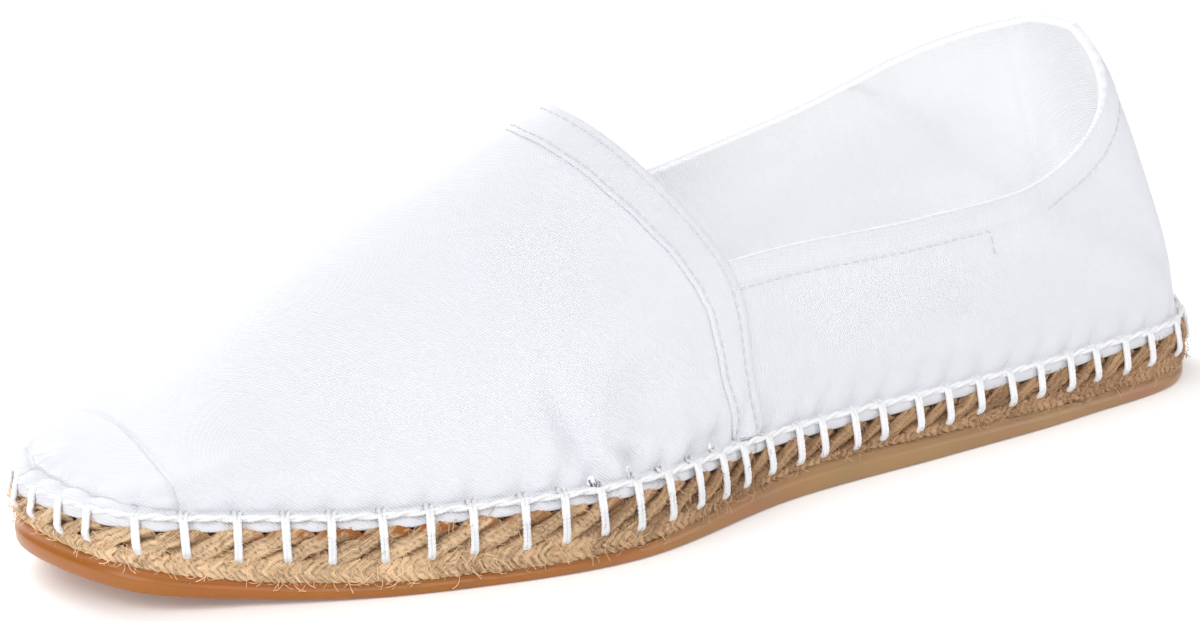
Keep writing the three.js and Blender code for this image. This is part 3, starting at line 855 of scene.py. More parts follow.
class Cloth:
    """The upper's outer face as a grid, with its folds, and what is needed to lay pieces on it."""

    def __init__(self):
        self.planes = self.make_planes()
        half = len(self.planes) - 1
        self.half, self.ring = half, 2 * half
        columns = np.arange(self.ring)
        self.plane = np.where(columns <= half, columns, self.ring - columns)
        self.w = self.planes[self.plane]
        self.side = np.where(columns <= half, LATERAL, MEDIAL)
        self.u = RING.of(self.w, self.side)
        self.throat = int(np.searchsorted(self.planes, THROAT_ROW - 1e-6))
        self.cap = int(np.searchsorted(self.planes, CAP_ROW - 1e-6))
        self.place_rows()
        self.soften_ridge()
        self.number_points()
        self.normals = vertex_normals(self.points, self.quads)
        low = self.row == 0
        self.normals[low, 2] = 0
        self.normals[low] /= np.linalg.norm(self.normals[low], axis=1, keepdims=True)
        self.soft = self.soft_folds()
        self.outer = self.points + self.normals * (self.soft + self.hard_folds())[:, None]
        lining = self.soft * smooth(self.rise, 2, 9) - CANVAS - self.lining_steps()
        self.inner = self.points + self.normals * lining[:, None]
        self.outer_normals = vertex_normals(self.outer, self.quads)

    @staticmethod
    def make_planes():
        """Row numbers of the grid's columns from heel to toe, dense under the tape."""
        tape_rows = TAPE_WIDTH / ((LAST["station"][5] - LAST["station"][4]) * LENGTH)
        parts = [(0, 1, 34), (1, THROAT_ROW, 92), (THROAT_ROW, THROAT_ROW + tape_rows, TAPE_COLUMNS),
                 (THROAT_ROW + tape_rows, CAP_ROW, 104), (CAP_ROW, TOE_ROW, 60)]
        planes = [np.linspace(a, b, n, endpoint=False) for a, b, n in parts]
        return np.concatenate(planes + [[TOE_ROW]])

    @staticmethod
    def side_rows(fold, full):
        """Distances up the cloth of the rows to the collar line: the band, the side and the hem."""
        count = SIDE_ROWS - BAND_ROWS - HEM_ROWS + 1
        band = np.linspace(0, fold, BAND_ROWS)
        rise = np.linspace(fold, full - HEM_FOLD, count)[1:]
        hem = np.linspace(full - HEM_FOLD, full, HEM_ROWS + 1)[1:]
        return np.concatenate([band, rise, hem])

    def place_rows(self):
        """Points and distances of every row; the rows above the collar line count past the throat only."""
        line = section_points(section_levels(self.w, self.side), np.linspace(0, 4, SECTION_STEPS + 1))
        steps = np.linalg.norm(np.diff(line, axis=1), axis=2)
        run = np.concatenate([np.zeros((self.ring, 1)), np.cumsum(steps, axis=1)], axis=1)
        self.full, total = run[:, SECTION_STEPS // 2], run[:, -1]
        fold = rim_height(self.w) + 0.9
        shares = {}
        for side, column in ((LATERAL, self.throat), (MEDIAL, self.ring - self.throat)):
            own = self.side_rows(fold[column], self.full[column])
            crown = np.linspace(self.full[column], total[column], CROWN_ROWS + 1)[1:]
            above = np.concatenate([own[BAND_ROWS:], crown])
            shares[side] = (above - fold[column]) / (total[column] - fold[column])
        self.rises = np.zeros((self.ring, SIDE_ROWS + CROWN_ROWS))
        self.grid = np.zeros(self.rises.shape + (3,))
        for c in range(self.ring):
            if self.plane[c] < self.throat:
                self.rises[c, :SIDE_ROWS] = self.side_rows(fold[c], self.full[c])
            else:
                self.rises[c, :BAND_ROWS] = np.linspace(0, fold[c], BAND_ROWS)
                self.rises[c, BAND_ROWS:] = fold[c] + shares[self.side[c]] * (total[c] - fold[c])
            for axis in range(3):
                self.grid[c, :, axis] = np.interp(self.rises[c], run[c], line[c, :, axis])

    def soften_ridge(self):
        """Take the corner out of the ridge, where the sections of both sides meet."""
        rows = self.grid.shape[1]
        for p in range(self.throat, self.half):
            other = self.ring - p
            arch = np.concatenate([self.grid[p], self.grid[other][-2::-1]])
            k = np.arange(len(arch)) - (rows - 1)
            weight = (0.5 * np.exp(-(k / RIDGE_REACH) ** 2))[1:-1, None]
            for _ in range(RIDGE_PASSES):
                arch[1:-1] += weight * ((arch[2:] + arch[:-2]) / 2 - arch[1:-1])
            self.grid[p] = arch[:rows]
            self.grid[other] = arch[rows - 1:][::-1]

    def number_points(self):
        """Number the grid's points, the ridge's shared by both sides, and list its cells."""
        rows = SIDE_ROWS + CROWN_ROWS
        ids = np.full((self.ring, rows), -1)
        column_of, row_of = [], []
        for c in range(self.ring):
            for r in range(SIDE_ROWS if self.plane[c] < self.throat else rows):
                if r == rows - 1 and c > self.half:
                    ids[c, r] = ids[self.ring - c, r]
                    continue
                ids[c, r] = len(row_of)
                column_of.append(c)
                row_of.append(r)
        self.ids = ids
        self.column, self.row = np.array(column_of), np.array(row_of)
        self.points, self.rise = self.grid[self.column, self.row], self.rises[self.column, self.row]
        after = np.roll(np.arange(self.ring), -1)
        cells = np.stack([ids[:, :-1], ids[after][:, :-1], ids[after][:, 1:], ids[:, 1:]], axis=-1)
        c, r = np.nonzero((cells >= 0).all(axis=-1))
        self.quads = cells[c, r][:, ::-1]
        self.cell_column, self.cell_row = c, r

    def height_share(self):
        """Height of each point as a share of its section's side, above 1 on the crown."""
        return self.rise / self.full[self.column]

    def soft_folds(self):
        """Slack and creases that both faces of the cloth follow."""
        u, s = self.u[self.column], self.rise
        w, side = self.w[self.column], self.side[self.column]
        share = self.height_share()
        fold = np.zeros(len(s))
        for crease_side, start, end, depth, width in CREASES:
            a, b = np.array(start), np.array(end)
            scale = np.array([38.0, 36.0])
            q = np.column_stack([w, share]) * scale
            a, b = a * scale, b * scale
            t = np.clip(((q - a) @ (b - a)) / ((b - a) @ (b - a)), 0, 1)
            near = np.linalg.norm(q - (a + t[:, None] * (b - a)), axis=1)
            taper = 0.45 + 0.55 * np.sin(np.pi * np.clip(t, 0.02, 0.98))
            depth *= 0.6 + 0.4 * smooth(s, 3.5, 7)
            fold += np.where(side == crease_side, depth * taper * np.exp(-(near / width) ** 2), 0)
        offset, gap = stitch_offset(u + 0.6 * (s - 4.0) * np.where(side == LATERAL, 1, -1))
        wave = -np.cos(2 * np.pi * offset / gap)
        strength = 0.3 + 0.4 * np.exp(-((w - 5.2) / 1.1) ** 2)
        fold += wave * strength * np.exp(-np.clip(s - 4.5, 0, None) / 5.0) * smooth(s, 2.5, 4.6)
        fold -= np.exp(-(offset / 1.25) ** 2 - np.clip(s - 4.2, 0, None) / 3.4) * smooth(s, 3.8, 5.0) * 0.7
        x, y, z = self.points.T
        slack = np.sin(x / 16.0 + y / 21.0) * 0.26 + np.sin(x / 7.3 - y / 9.0 + z / 12.0) * 0.13
        return fold + slack * smooth(s, 6, 16)

    def hard_folds(self):
        """The band over the sole, the pull of each stitch, the toe's rim and seam, and the collar hem."""
        u, s, w = self.u[self.column], self.rise, self.w[self.column]
        offset, gap = stitch_offset(u)
        rim = smooth(w, 7.6, 8.7)
        top = rim_height(w)
        round_band = np.sqrt(np.clip(1 - ((s - top * 0.45) / (top * 0.62)) ** 2, 0, 1))
        fold = (0.7 + 0.25 * rim - toe_tuck(w)) * round_band * (1 - 0.3 * np.exp(-(offset / 1.1) ** 2))
        crevice = np.exp(-((s - top - 0.5) / 0.6) ** 2)
        fold -= crevice * (0.22 + 0.9 * smooth(w, 8.2, 8.7) * (0.75 + 0.25 * np.sin(u * 1.9)))
        wrinkle = np.sin(u * 1.7) + np.sin(u * 2.9 + 1.0)
        fold += wrinkle * 0.09 * np.exp(-((s - 1.4) / 1.4) ** 2)
        fold += wrinkle * 0.13 * rim * np.exp(-((s - top - 1.8) / 1.5) ** 2)
        dimple = np.exp(-(offset / 0.75) ** 2 - ((s - top - 0.35) / 0.75) ** 2)
        fold -= dimple * 0.7 * (1 - rim)
        seam = (w - CAP_ROW) * CAP_ROW_SPACING
        fold -= 0.55 * np.exp(-(seam / 1.3) ** 2) * smooth(s, top, top + 2)
        hem = self.full[self.column] - s
        behind = (self.plane[self.column] < self.throat) & (self.row < SIDE_ROWS)
        hem_step = HEM_STEP * smooth(HEM_WIDTH - hem, 0, 0.7)
        hem_step -= 0.4 * np.exp(-((hem - HEM_GROOVE) / 0.5) ** 2)
        return fold + np.where(behind, hem_step, 0)

    def lining_steps(self):
        """Thickness added inside: the heel patch of the lining, ending on a slant towards the waist."""
        w, share = self.w[self.column], self.height_share()
        edge = 0.69 + 1.92 * share
        return 0.4 * smooth(edge - w, 0, 0.02) * smooth(share, 0.08, 0.14)

    def uv(self):
        """Cloth coordinates in millimetres: along the shoe, turned round behind the throat, and up."""
        u, x = self.u[self.column], self.points[:, 0]
        way = np.where(self.side[self.column] == LATERAL, 1, -1)
        from_ridge = (self.rise - self.rises[self.column, -1]) * way
        vamp = self.plane[self.column] > self.throat + 2
        quarter = -x * 0.8 - np.minimum(u, RING.full - u) * 0.2
        return np.column_stack([np.where(vamp, x, quarter), np.where(vamp, from_ridge, self.rise)])

    def build_upper(self):
        """The upper as a closed shell: outside, lining and rounded edges."""
        points, faces = shell_mesh(self.outer, self.inner, self.quads, CANVAS * 0.35)
        piece = make_object("upper_canvas", points, clean_faces(faces))
        uv = self.uv()
        rim = np.unique(np.concatenate(free_edges(self.quads)[:2]))
        add_uv(piece, np.concatenate([uv, uv, uv[rim]]))
        # the inner sheet is marked for the cloth's painted light inside
        add_values(piece, "inside", np.repeat([0.0, 1.0, 0.0], [len(uv), len(uv), len(rim)]))
        return piece

    def build_cap(self):
        """The toe cap's cloth over the vamp, from its seam into the crevice behind the rim."""
        first = np.minimum(self.plane[self.cell_column], self.plane[(self.cell_column + 1) % self.ring])
        quads = self.quads[(first >= self.cap) & (self.cell_row >= BAND_ROWS - 1)]
        used, local = np.unique(quads, return_inverse=True)
        local = local.reshape(quads.shape)
        base, normal = self.outer[used], self.outer_normals[used]
        seam = self.plane[self.column[used]] - self.cap
        climb = 0.15 + 0.85 * smooth(self.row[used] - BAND_ROWS + 1, 0, 4)
        top = ((0.5 - 0.3 * np.exp(-(seam / 1.2) ** 2)) * climb)[:, None]
        points, faces = shell_mesh(base + normal * top, base + normal * 0.03, local, 0.03)
        piece = make_object("toe_cap_canvas", points, clean_faces(faces))
        uv = self.uv()[used]
        rim = np.unique(np.concatenate(free_edges(local)[:2]))
        add_uv(piece, np.concatenate([uv, uv, uv[rim]]))
        return piece

    def arch(self, values, plane):
        """One plane's values over the vamp, from the lateral sole over the ridge to the medial sole."""
        return np.concatenate([values[self.ids[plane]], values[self.ids[self.ring - plane]][-2::-1]])

    def line(self, ids, lift):
        """A line over the cloth through grid points, lifted off it."""
        return self.outer[ids] + self.outer_normals[ids] * lift


class Tape:
    """The tape folded over the throat's edge, narrower where it goes under the sewing."""

    def __init__(self, cloth):
        planes = range(cloth.throat, cloth.throat + TAPE_COLUMNS + 3)
        self.place = np.array([cloth.arch(cloth.outer, p) for p in planes])
        self.normal = np.array([cloth.arch(cloth.outer_normals, p) for p in planes])
        rows = self.place.shape[1]
        k = np.arange(rows)
        down = np.minimum(k, rows - 1 - k)
        self.kept = k[down >= BAND_ROWS - 4]
        self.width = 6.6 + 2.6 * smooth(down, BAND_ROWS, 46) + 0.1 * np.sin(k * 0.9)
        self.bulk = 0.45 * np.exp(-((down - BAND_ROWS - 1) / 2.5) ** 2)

    def at(self, row, offset, lift):
        """A point on the tape: millimetres in front of the throat's edge, and off the cloth."""
        q = offset * TAPE_COLUMNS / TAPE_WIDTH
        base = int(np.clip(math.floor(q), 0, len(self.place) - 2))
        part = q - base
        place = self.place[base, row] * (1 - part) + self.place[base + 1, row] * part
        return place + self.normal[max(base, 0), row] * lift

    def profile(self, row):
        """The tape's section: over the outside, round the edge and back along the inside."""
        width, bulk = self.width[row], self.bulk[row]
        out = np.linspace(1, 0.05, 24) * width
        groove = np.exp(-((out - TAPE_SEAM) / 0.3) ** 2)
        groove += np.exp(-((out - width + TAPE_SEAM) / 0.3) ** 2)
        lift = 0.65 + bulk * (0.6 + 0.4 * np.sin(out * 2.1 + row)) - 0.25 * groove
        lift[0] = 0.35
        return [(width, 0.04)] + list(zip(out, lift)) + list(TAPE_EDGE)

    def build(self):
        """The tape as one closed strip, from the lateral sole to the medial sole."""
        profiles = [self.profile(row) for row in self.kept]
        rings = [[self.at(row, o, l) for o, l in profile] for row, profile in zip(self.kept, profiles)]
        size = len(rings[0])
        points = np.array(rings).reshape(-1, 3)
        faces = []
        for i in range(len(rings) - 1):
            for j in range(size):
                a, b = i * size + j, i * size + (j + 1) % size
                faces.append((a, b, b + size, a + size))
        faces.append(tuple(range(size))[::-1])
        faces.append(tuple(range(len(points) - size, len(points))))
        piece = make_object("throat_tape_cotton", points, faces)
        turn_outwards(piece)
        steps = np.linalg.norm(np.diff(points.reshape(-1, size, 3)[:, 0], axis=0), axis=1)
        run = np.repeat(np.concatenate([[0], np.cumsum(steps)]), size)
        add_uv(piece, np.column_stack([np.array(profiles).reshape(-1, 2)[:, 0], run]))
        return piece

    def seam(self, rear):
        """One of the tape's two seams: near the throat's edge or near its front edge."""
        rows = self.kept[4:-4]
        return np.array([self.at(row, TAPE_SEAM if rear else self.width[row] - TAPE_SEAM,
                                 0.57 + self.bulk[row]) for row in rows])


# Settings

class EspadrilleColours(bpy.types.PropertyGroup):
    """Colours of the shoe's materials."""

    canvas: FloatVectorProperty(name="Canvas", description="Cotton of the upper", subtype="COLOR",
                                default=(0.74, 0.746, 0.777), min=0, max=1)
    thread: FloatVectorProperty(name="Thread", description="Cord and thread of the stitches",
                                subtype="COLOR", default=(0.87, 0.87, 0.885), min=0, max=1)
    jute_light: FloatVectorProperty(name="Light jute", description="Lit fibres", subtype="COLOR",
                                    default=(0.94, 0.67, 0.41), min=0, max=1)
    # painted shade: the yarns' colour where they turn into the grooves; noise streaks also mix it in at
    # random
    jute_shaded: FloatVectorProperty(name="Dark jute", description="Fibres in the grooves", subtype="COLOR",
                                   default=(0.22, 0.11, 0.045), min=0, max=1)
    rubber_toe: FloatVectorProperty(name="Toe rubber", description="Gum rubber at the toe and ball",
                                    subtype="COLOR", default=(0.42, 0.135, 0.012), min=0, max=1)
    rubber_heel: FloatVectorProperty(name="Heel rubber", description="Gum rubber at the waist and heel",
                                     subtype="COLOR", default=(0.40, 0.225, 0.095), min=0, max=1)


class EspadrilleSizes(bpy.types.PropertyGroup):
    """Sizes of what is sewn on, in millimetres."""

    rib_pitch: FloatProperty(name="Twill pitch", description="Distance between twill ribs", default=0.43,
                             min=0.2, max=2)
    seam_pitch: FloatProperty(name="Seam pitch", description="Distance between machine stitches",
                              default=2.3, min=1, max=6)
    thread_radius: FloatProperty(name="Thread radius", description="Radius of the machine thread",
                                 default=0.2, min=0.05, max=1)
    cord_radius: FloatProperty(name="Cord radius", description="Radius of each strand of the sewing cord",
                               default=CORD_RADIUS, min=0.1, max=2)
    fibre_seed: IntProperty(name="Fibre seed", description="Changes the loose jute fibres", default=3, min=0)


def settings():
    """The scene's colours and sizes."""
    return bpy.context.scene.espadrille_colours, bpy.context.scene.espadrille_sizes


def shared_cloth():
    """The cloth grid, made once."""
    if not hasattr(shared_cloth, "cloth"):
        shared_cloth.cloth = Cloth()
    return shared_cloth.cloth


def shared_tree(build):
    """A Geometry Nodes tree, made once."""
    name = build.__name__
    if not hasattr(shared_tree, name):
        setattr(shared_tree, name, build())
    return getattr(shared_tree, name)


# Operators

class ESPADRILLE_OT_stage(bpy.types.Operator):
    """Make the floor, the soft lights and the camera at the photograph's angle"""

    bl_idname = "espadrille.stage"
    bl_label = "Stage"

    def execute(self, context):
        scene = context.scene
        scene.view_settings.view_transform = "Standard"
        bpy.ops.mesh.primitive_plane_add(size=12)
        floor = context.object
        floor.name = "studio_floor"
        floor.data.materials.append(floor_material("studio_floor", FLOOR_COLOUR))
        for light in LIGHTS:
            self.add_light(*light)
        world = bpy.data.worlds.new("studio")
        world.use_nodes = True
        background = world.node_tree.nodes["Background"]
        background.inputs[0].default_value = ROOM_COLOUR
        background.inputs[1].default_value = ROOM
        scene.world = world
        self.add_camera(scene)
        return {"FINISHED"}

    @staticmethod
    def add_light(name, place, size, power):
        """A round soft light that faces the shoe."""
        data = bpy.data.lights.new(name, "AREA")
        data.shape, data.size, data.energy = "DISK", size, power
        light = bpy.data.objects.new(name, data)
        light.location = place
        light.rotation_euler = (-Vector(place)).to_track_quat("-Z", "Y").to_euler()
        bpy.context.scene.collection.objects.link(light)

    @staticmethod
    def add_camera(scene):
        """The fitted camera, turned about its own axis by the roll."""
        azimuth, elevation, roll = (math.radians(a) for a in (CAMERA_AZIMUTH, CAMERA_ELEVATION, CAMERA_ROLL))
        back = Vector((math.sin(azimuth) * math.cos(elevation), math.cos(azimuth) * math.cos(elevation),
                       math.sin(elevation)))
        right = (-back).cross(Vector((0, 0, 1))).normalized()
        up = right.cross(-back)
        turned_right = right * math.cos(roll) + up * math.sin(roll)
        turned_up = up * math.cos(roll) - right * math.sin(roll)
        place = (Vector(CAMERA_AIM) + back * CAMERA_DISTANCE) * MM
        data = bpy.data.cameras.new("camera")
        data.lens, data.sensor_width = CAMERA_LENS, 36.0
        camera = bpy.data.objects.new("camera", data)
        turn = Matrix((turned_right, turned_up, back)).transposed()
        camera.matrix_world = Matrix.Translation(place) @ turn.to_4x4()
        scene.collection.objects.link(camera)
        scene.camera = camera


class ESPADRILLE_OT_outsole(bpy.types.Operator):
    """Make the rubber outsole: a dish with a lip line and a slightly wavy rim"""

    bl_idname = "espadrille.outsole"
    bl_label = "Outsole"

    def execute(self, context):
        colours, _ = settings()
        planes = partner_planes(1.0)
        rings = [sole_ring(planes, even(inset), self.level(*heights)) for inset, *heights in OUTSOLE_SECTION]
        piece = ring_solid("rubber_outsole", rings)
        material = rubber_material("gum_rubber", colours.rubber_toe, colours.rubber_heel)
        finish_piece(piece, material, ["outsole"])
        return {"FINISHED"}

    @staticmethod
    def level(share, waves, lift):
        """Heights of one ring: a share of the rim's height and of its small waves, and a lift."""
        def height(w, u):
            ripple = 0.22 * np.sin(u / 6.1) + 0.15 * np.sin(u / 2.7 + 1.0)
            return rubber_rim(w) * share + ripple * waves + lift

        return height


class ESPADRILLE_OT_midsole(bpy.types.Operator):
    """Make the jute midsole: its core, two rows of slanting yarns and loose fibres"""

    bl_idname = "espadrille.midsole"
    bl_label = "Jute midsole"

    def execute(self, context):
        colours, sizes = settings()
        light, dark = colours.jute_light, colours.jute_shaded
        # painted shade: the core, seen only through gaps, is drawn far darker than the yarns
        core_material = jute_material("jute_core", [c * 0.4 for c in dark], dark, False)
        yarn_material = jute_material("jute_strand", dark, light)
        planes = partner_planes(1.5)
        core = ring_solid("jute_core", [
            sole_ring(planes, even(RUBBER_WALL + GAP), even(RUBBER_FLOOR + GAP)),
            sole_ring(planes, even(RUBBER_WALL + GAP), lambda w, u: rubber_rim(w) + GAP),
            sole_ring(planes, even(2.1), lambda w, u: jute_split(w)),
            sole_ring(planes, even(2.0), lambda w, u: jute_top(w) - 0.6),
            sole_ring(planes, even(3.0), lambda w, u: jute_top(w) - 0.2),
        ])
        finish_piece(core, core_material, ["midsole"])
        fibre_material = jute_material("jute_fibre", [c * 0.6 for c in light], light, False)
        upper = self.row("jute_upper_row", yarn_material, jute_split, jute_top, **UPPER_ROW)
        lower = self.row("jute_lower_row", yarn_material, rubber_rim, jute_split, **LOWER_ROW)
        self.fibres("jute_fibres_upper", upper, fibre_material, UPPER_FIBRES, sizes.fibre_seed)
        self.fibres("jute_fibres_lower", lower, fibre_material, LOWER_FIBRES, sizes.fibre_seed + 1)
        return {"FINISHED"}

    @staticmethod
    def row(name, material, bottom, top, seed, yarn, slant, lobe, fullness):
        """One row of the plait as a ring: slanting yarns, pinched into lobes along the stitches."""
        rng = np.random.default_rng(seed)
        count = round(RING.full / yarn)
        yarn = RING.full / count
        u = np.linspace(0, RING.full, int(RING.full / YARN_STEP), endpoint=False)
        w, side = RING.at(u)
        middle = (bottom(w) + top(w)) / 2 + 0.1
        tall = ((top(w) - bottom(w)) / 2 * fullness)[:, None]
        angle = np.concatenate([np.linspace(-1.8, 1.8, 22), [2.4, 3.14, 3.88]])[None, :]
        rise = np.sin(angle) * tall
        bulge = np.sign(np.cos(angle[0])) * np.abs(np.cos(angle[0])) ** 0.55

        def uneven(reach, knots):
            values = rng.uniform(-reach, reach, knots)
            return np.interp(u, np.linspace(0, RING.full, knots), values, period=RING.full)[:, None]

        wobble = uneven(0.3, 211)
        wander = uneven(3, 331)
        wobble = wobble + 0.35 * np.sin(wander + 1.3 * angle) + 0.2 * np.sin(2 * wander - 2.1 * angle)
        across = u[:, None] - (slant * rise if lobe else slant * np.abs(rise)) + wobble
        place = np.mod(across, RING.full)
        own = np.floor(place / yarn).astype(int) % count
        part = np.mod(place / yarn, 1)
        crown = np.sqrt(np.clip(1 - (2 * part - 1) ** 2, 0, 1)) * rng.uniform(0.75, 1.1, count)[own]
        tone = rng.uniform(0.68, 1.1, count)[own]
        offset, gap = stitch_offset(place)
        groove = lobe * (0.35 * np.cos(np.pi * offset / gap) ** 2 + np.exp(-(offset / 0.95) ** 2))
        push = 0.5 * crown - groove + 0.25 * lobe + rng.uniform(-0.12, 0.12, count)[own] - 0.35
        points = np.empty(push.shape + (3,))
        for k in range(angle.shape[1]):
            edge = outline_at(w, side, 1.0 + toe_tuck(w) - bulge[k] * (1.55 + push[:, k]))
            points[:, k, :2] = edge
            level = spring_at(edge[:, 0]) + middle
            points[:, k, 2] = level + rise[:, k] + np.sin(angle[0, k]) * push[:, k]
        size = angle.shape[1]
        i, j = (g.ravel() for g in np.meshgrid(np.arange(len(u)), np.arange(size), indexing="ij"))
        after, beside = (i + 1) % len(u), (j + 1) % size
        faces = np.column_stack([i * size + j, after * size + j, after * size + beside, i * size + beside])
        piece = make_object(name, points.reshape(-1, 3), faces.tolist())
        turn_outwards(piece)
        add_uv(piece, np.column_stack([across.ravel(), (u[:, None] * 0.62 + rise * 0.78).ravel()]))
        stain = np.exp(-((u - GLUE_PLACE) / GLUE_SPREAD) ** 2)[:, None] * smooth(np.sin(angle), 0.3, 0.85)
        # the crown value carries painted shade: low where a yarn curves away and in the grooves at the
        # stitches, with each yarn's random tone
        add_values(piece, "crown", np.clip(crown * tone - 0.35 * groove, 0, 1))
        add_values(piece, "stain", np.broadcast_to(stain * (lobe > 0), push.shape))
        return finish_piece(piece, material)

    @staticmethod
    def fibres(name, row, material, spread, seed):
        """Loose fibres standing out of a row of yarns."""
        piece = bpy.data.objects.new(name, row.data.copy())
        bpy.context.scene.collection.objects.link(piece)
        density, shortest, longest = spread
        run_tree(piece, shared_tree(fibre_tree), Density=density, Shortest=shortest * MM,
                 Longest=longest * MM, Fibre_Radius=FIBRE_RADIUS, Seed=seed, Material=material)
        return finish_piece(piece, material)


class ESPADRILLE_OT_insole(bpy.types.Operator):
    """Make the thin sock over the jute"""

    bl_idname = "espadrille.insole"
    bl_label = "Insole"

    def execute(self, context):
        planes = partner_planes(2.0)
        above = lambda lift: lambda w, u: jute_top(w) + GAP + lift
        piece = ring_solid("insole_sock", [
            sole_ring(planes, even(INSOLE_INSET), above(0)),
            sole_ring(planes, even(INSOLE_INSET), above(INSOLE_THICKNESS * 0.7)),
            sole_ring(planes, even(INSOLE_INSET + 0.6), above(INSOLE_THICKNESS)),
        ])
        points = np.array([v.co for v in piece.data.vertices]) / MM
        add_uv(piece, points[:, :2])
        finish_piece(piece, cloth_material("lining", SOCK_COLOUR, SOCK_RIB_PITCH), ["insole"])
        return {"FINISHED"}


class ESPADRILLE_OT_upper(bpy.types.Operator):
    """Make the canvas upper with its folds, band and hem"""

    bl_idname = "espadrille.upper"
    bl_label = "Upper"

    def execute(self, context):
        colours, sizes = settings()
        piece = shared_cloth().build_upper()
        material = cloth_material("white_twill", colours.canvas, sizes.rib_pitch)
        finish_piece(piece, material, ["upper"])
        return {"FINISHED"}


class ESPADRILLE_OT_overlays(bpy.types.Operator):
    """Make the throat tape and the toe cap"""

    bl_idname = "espadrille.overlays"
    bl_label = "Tape and toe cap"

    def execute(self, context):
        colours, sizes = settings()
        cloth = shared_cloth()
        tape_colour = [min(1.0, c * 1.02) for c in colours.canvas]
        tape_material = cloth_material("cotton_tape", tape_colour, sizes.rib_pitch)
        cap_material = cloth_material("cap_twill", colours.canvas, sizes.rib_pitch)
        finish_piece(Tape(cloth).build(), tape_material, ["throat_tape"])
        finish_piece(cloth.build_cap(), cap_material, ["toe_cap"])
        return {"FINISHED"}


class ESPADRILLE_OT_seams(bpy.types.Operator):
    """Sew the machine stitches of the tape and the collar hem"""

    bl_idname = "espadrille.seams"
    bl_label = "Machine seams"

    def execute(self, context):
        colours, sizes = settings()
        cloth = shared_cloth()
        tape = Tape(cloth)
        lines = [tape.seam(True), tape.seam(False)]
        corner = int(np.searchsorted(cloth.planes, HEM_SEAM_END))
        start = int(np.searchsorted(cloth.planes, HEEL_SEAM_START))
        turn = cloth.ids[[corner, corner], [HEM_SEAM_ROW - 4, HEM_SEAM_ROW - 2]]
        front = cloth.ids[np.arange(corner, cloth.throat), HEM_SEAM_ROW]
        around = np.concatenate([np.arange(cloth.ring - cloth.throat + 1, cloth.ring), np.arange(start)])
        for ids in (np.concatenate([turn, front]), cloth.ids[around, HEM_SEAM_ROW]):
            lines.append(cloth.line(ids, SEAM_LIFT))
        # painted shade: the machine thread is drawn darker than the cloth, for the shadow round each small
        # stitch
        material = thread_material("machine_thread", [c * 0.76 for c in colours.thread])
        piece = lines_object("machine_seams", lines)
        run_tree(piece, shared_tree(seam_tree), Pitch=sizes.seam_pitch * MM,
                 Stitch_Length=sizes.seam_pitch * THREAD_SHARE * MM,
                 Thread_Radius=sizes.thread_radius * MM, Material=material)
        finish_piece(piece, material)
        return {"FINISHED"}


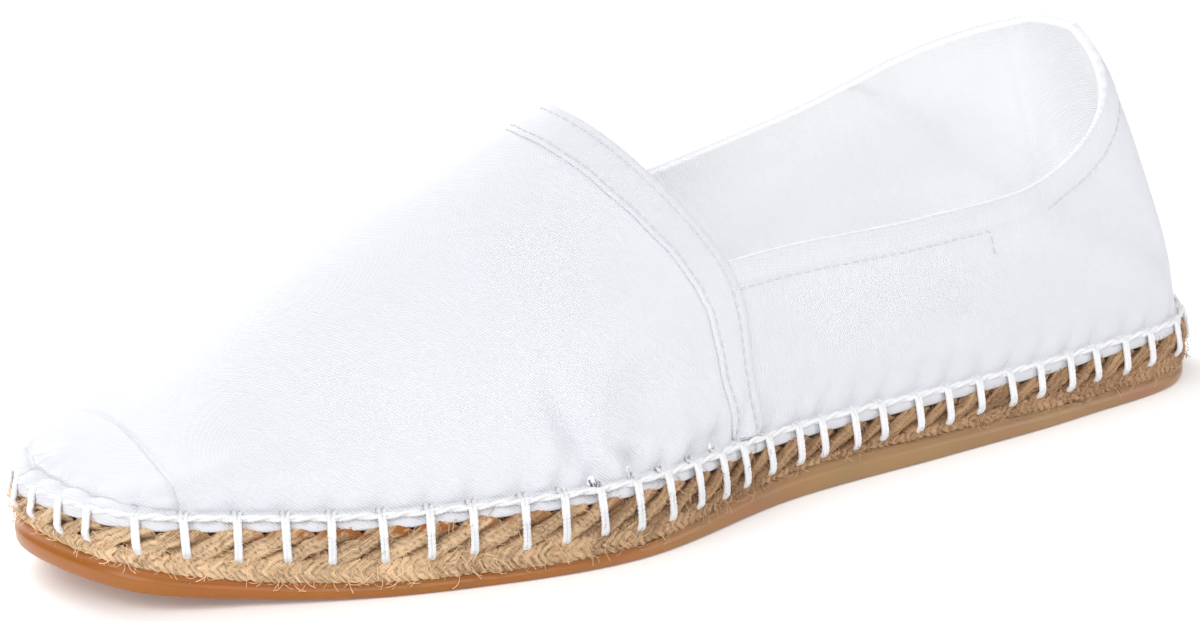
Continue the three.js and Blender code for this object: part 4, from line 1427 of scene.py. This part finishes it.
class ESPADRILLE_OT_blanket(bpy.types.Operator):
    """Sew the upper to the sole with blanket stitches of doubled cord"""

    bl_idname = "espadrille.blanket"
    bl_label = "Blanket stitches"

    def execute(self, context):
        colours, sizes = settings()
        material = thread_material("sewing_cord", colours.thread)
        rng = np.random.default_rng(4)
        stitches = []
        for place in STITCHES:
            lean = rng.uniform(-0.5, 0.5)
            drop = rng.uniform(-0.4, 0.3)
            for strand in (-1, 1):
                stitches.append(self.drop_line(place, strand * sizes.cord_radius * 0.6, lean, drop))
        self.sweep("blanket_stitches", stitches, False, material)
        self.sweep("running_cord", [self.running_line(strand) for strand in (0, 1)], True, material)
        return {"FINISHED"}

    @staticmethod
    def sweep(name, lines, closed, material):
        """Twisted strands along lines, as one piece."""
        radius = settings()[1].cord_radius
        twist = []
        for line in lines:
            steps = np.linalg.norm(np.diff(line, axis=0), axis=1)
            twist.append(np.concatenate([[0], np.cumsum(steps)]) / STRAND_TURN * 2 * np.pi)
        thickness = [np.full(len(line), radius) for line in lines]
        piece = lines_object(name, lines, closed, twist=twist, thickness=thickness)
        run_tree(piece, shared_tree(sweep_tree), Radius=MM, Lobes=3.0, Lobe_Depth=0.1, Sides=10,
                 Material=material)
        finish_piece(piece, material)

    @staticmethod
    def drop_line(place, shift, lean, drop):
        """One strand of a stitch: from the cloth over the band and the upper jute row to the groove."""
        w0, _ = RING.at(np.array([place]))
        top = jute_top(w0)[0] + CORD_HEIGHT
        bottom = jute_split(w0)[0] + 0.2 + drop
        edge = jute_top(w0)[0]
        heights = np.array([top + 0.7, top + 0.25, top - 0.8, edge + 0.6, edge - 0.6, (edge + bottom) / 2,
                            bottom + 0.9, bottom, bottom - 0.3])
        dive = 2.6 + 1.4 * np.exp(-((w0[0] - 5.2) / 0.3) ** 2)
        insets = np.array((dive,) + STITCH_INSETS) + toe_tuck(w0)
        t = np.linspace(0, 1, len(heights))
        fine = np.linspace(0, 1, 26)
        heights, insets = np.interp(fine, t, heights), np.interp(fine, t, insets)
        flare = 1 + 1.2 * np.clip(1 - fine / 0.22, 0, 1) ** 2
        u = place + shift * flare + lean * fine ** 1.5
        w, side = RING.at(u)
        points = outline_at(w, side, insets)
        return np.column_stack([points, spring_at(points[:, 0]) + heights])

    @staticmethod
    def running_line(strand):
        """The cord along the band, hanging a little between stitches."""
        u = np.linspace(0, RING.full, int(RING.full / CORD_STEP), endpoint=False)
        w, side = RING.at(u)
        offset, gap = stitch_offset(u)
        sag = 1 - np.cos(np.pi * offset / gap) ** 2
        turns = np.round(RING.full / CORD_TURN)
        angle = 2 * np.pi * turns * u / RING.full + strand * np.pi
        inset = 0.5 + 0.26 * np.cos(angle) + 0.1 * sag + toe_tuck(w)
        points = outline_at(w, side, inset)
        z = spring_at(points[:, 0]) + jute_top(w) + CORD_HEIGHT + 0.3 * np.sin(angle) + 0.2 * sag
        return np.column_stack([points, z])


PIECES = (ESPADRILLE_OT_stage, ESPADRILLE_OT_outsole, ESPADRILLE_OT_midsole, ESPADRILLE_OT_insole,
          ESPADRILLE_OT_upper, ESPADRILLE_OT_overlays, ESPADRILLE_OT_seams, ESPADRILLE_OT_blanket)


class ESPADRILLE_PT_panel(bpy.types.Panel):
    """The shoe's settings and pieces"""

    bl_idname = "ESPADRILLE_PT_panel"
    bl_label = "Espadrille"
    bl_space_type = "VIEW_3D"
    bl_region_type = "UI"
    bl_category = "Espadrille"

    def draw(self, context):
        for group in settings():
            for key in group.__annotations__:
                self.layout.prop(group, key)
        for piece in PIECES:
            self.layout.operator(piece.bl_idname)


CLASSES = (EspadrilleColours, EspadrilleSizes) + PIECES + (ESPADRILLE_PT_panel,)


def register():
    for item in CLASSES:
        bpy.utils.register_class(item)
    bpy.types.Scene.espadrille_colours = PointerProperty(type=EspadrilleColours)
    bpy.types.Scene.espadrille_sizes = PointerProperty(type=EspadrilleSizes)


def unregister():
    del bpy.types.Scene.espadrille_sizes
    del bpy.types.Scene.espadrille_colours
    for item in reversed(CLASSES):
        bpy.utils.unregister_class(item)


def main():
    """Make every piece in order."""
    register()
    for piece in PIECES:
        group, name = piece.bl_idname.split(".")
        getattr(getattr(bpy.ops, group), name)()


if __name__ == "__main__":
    main()
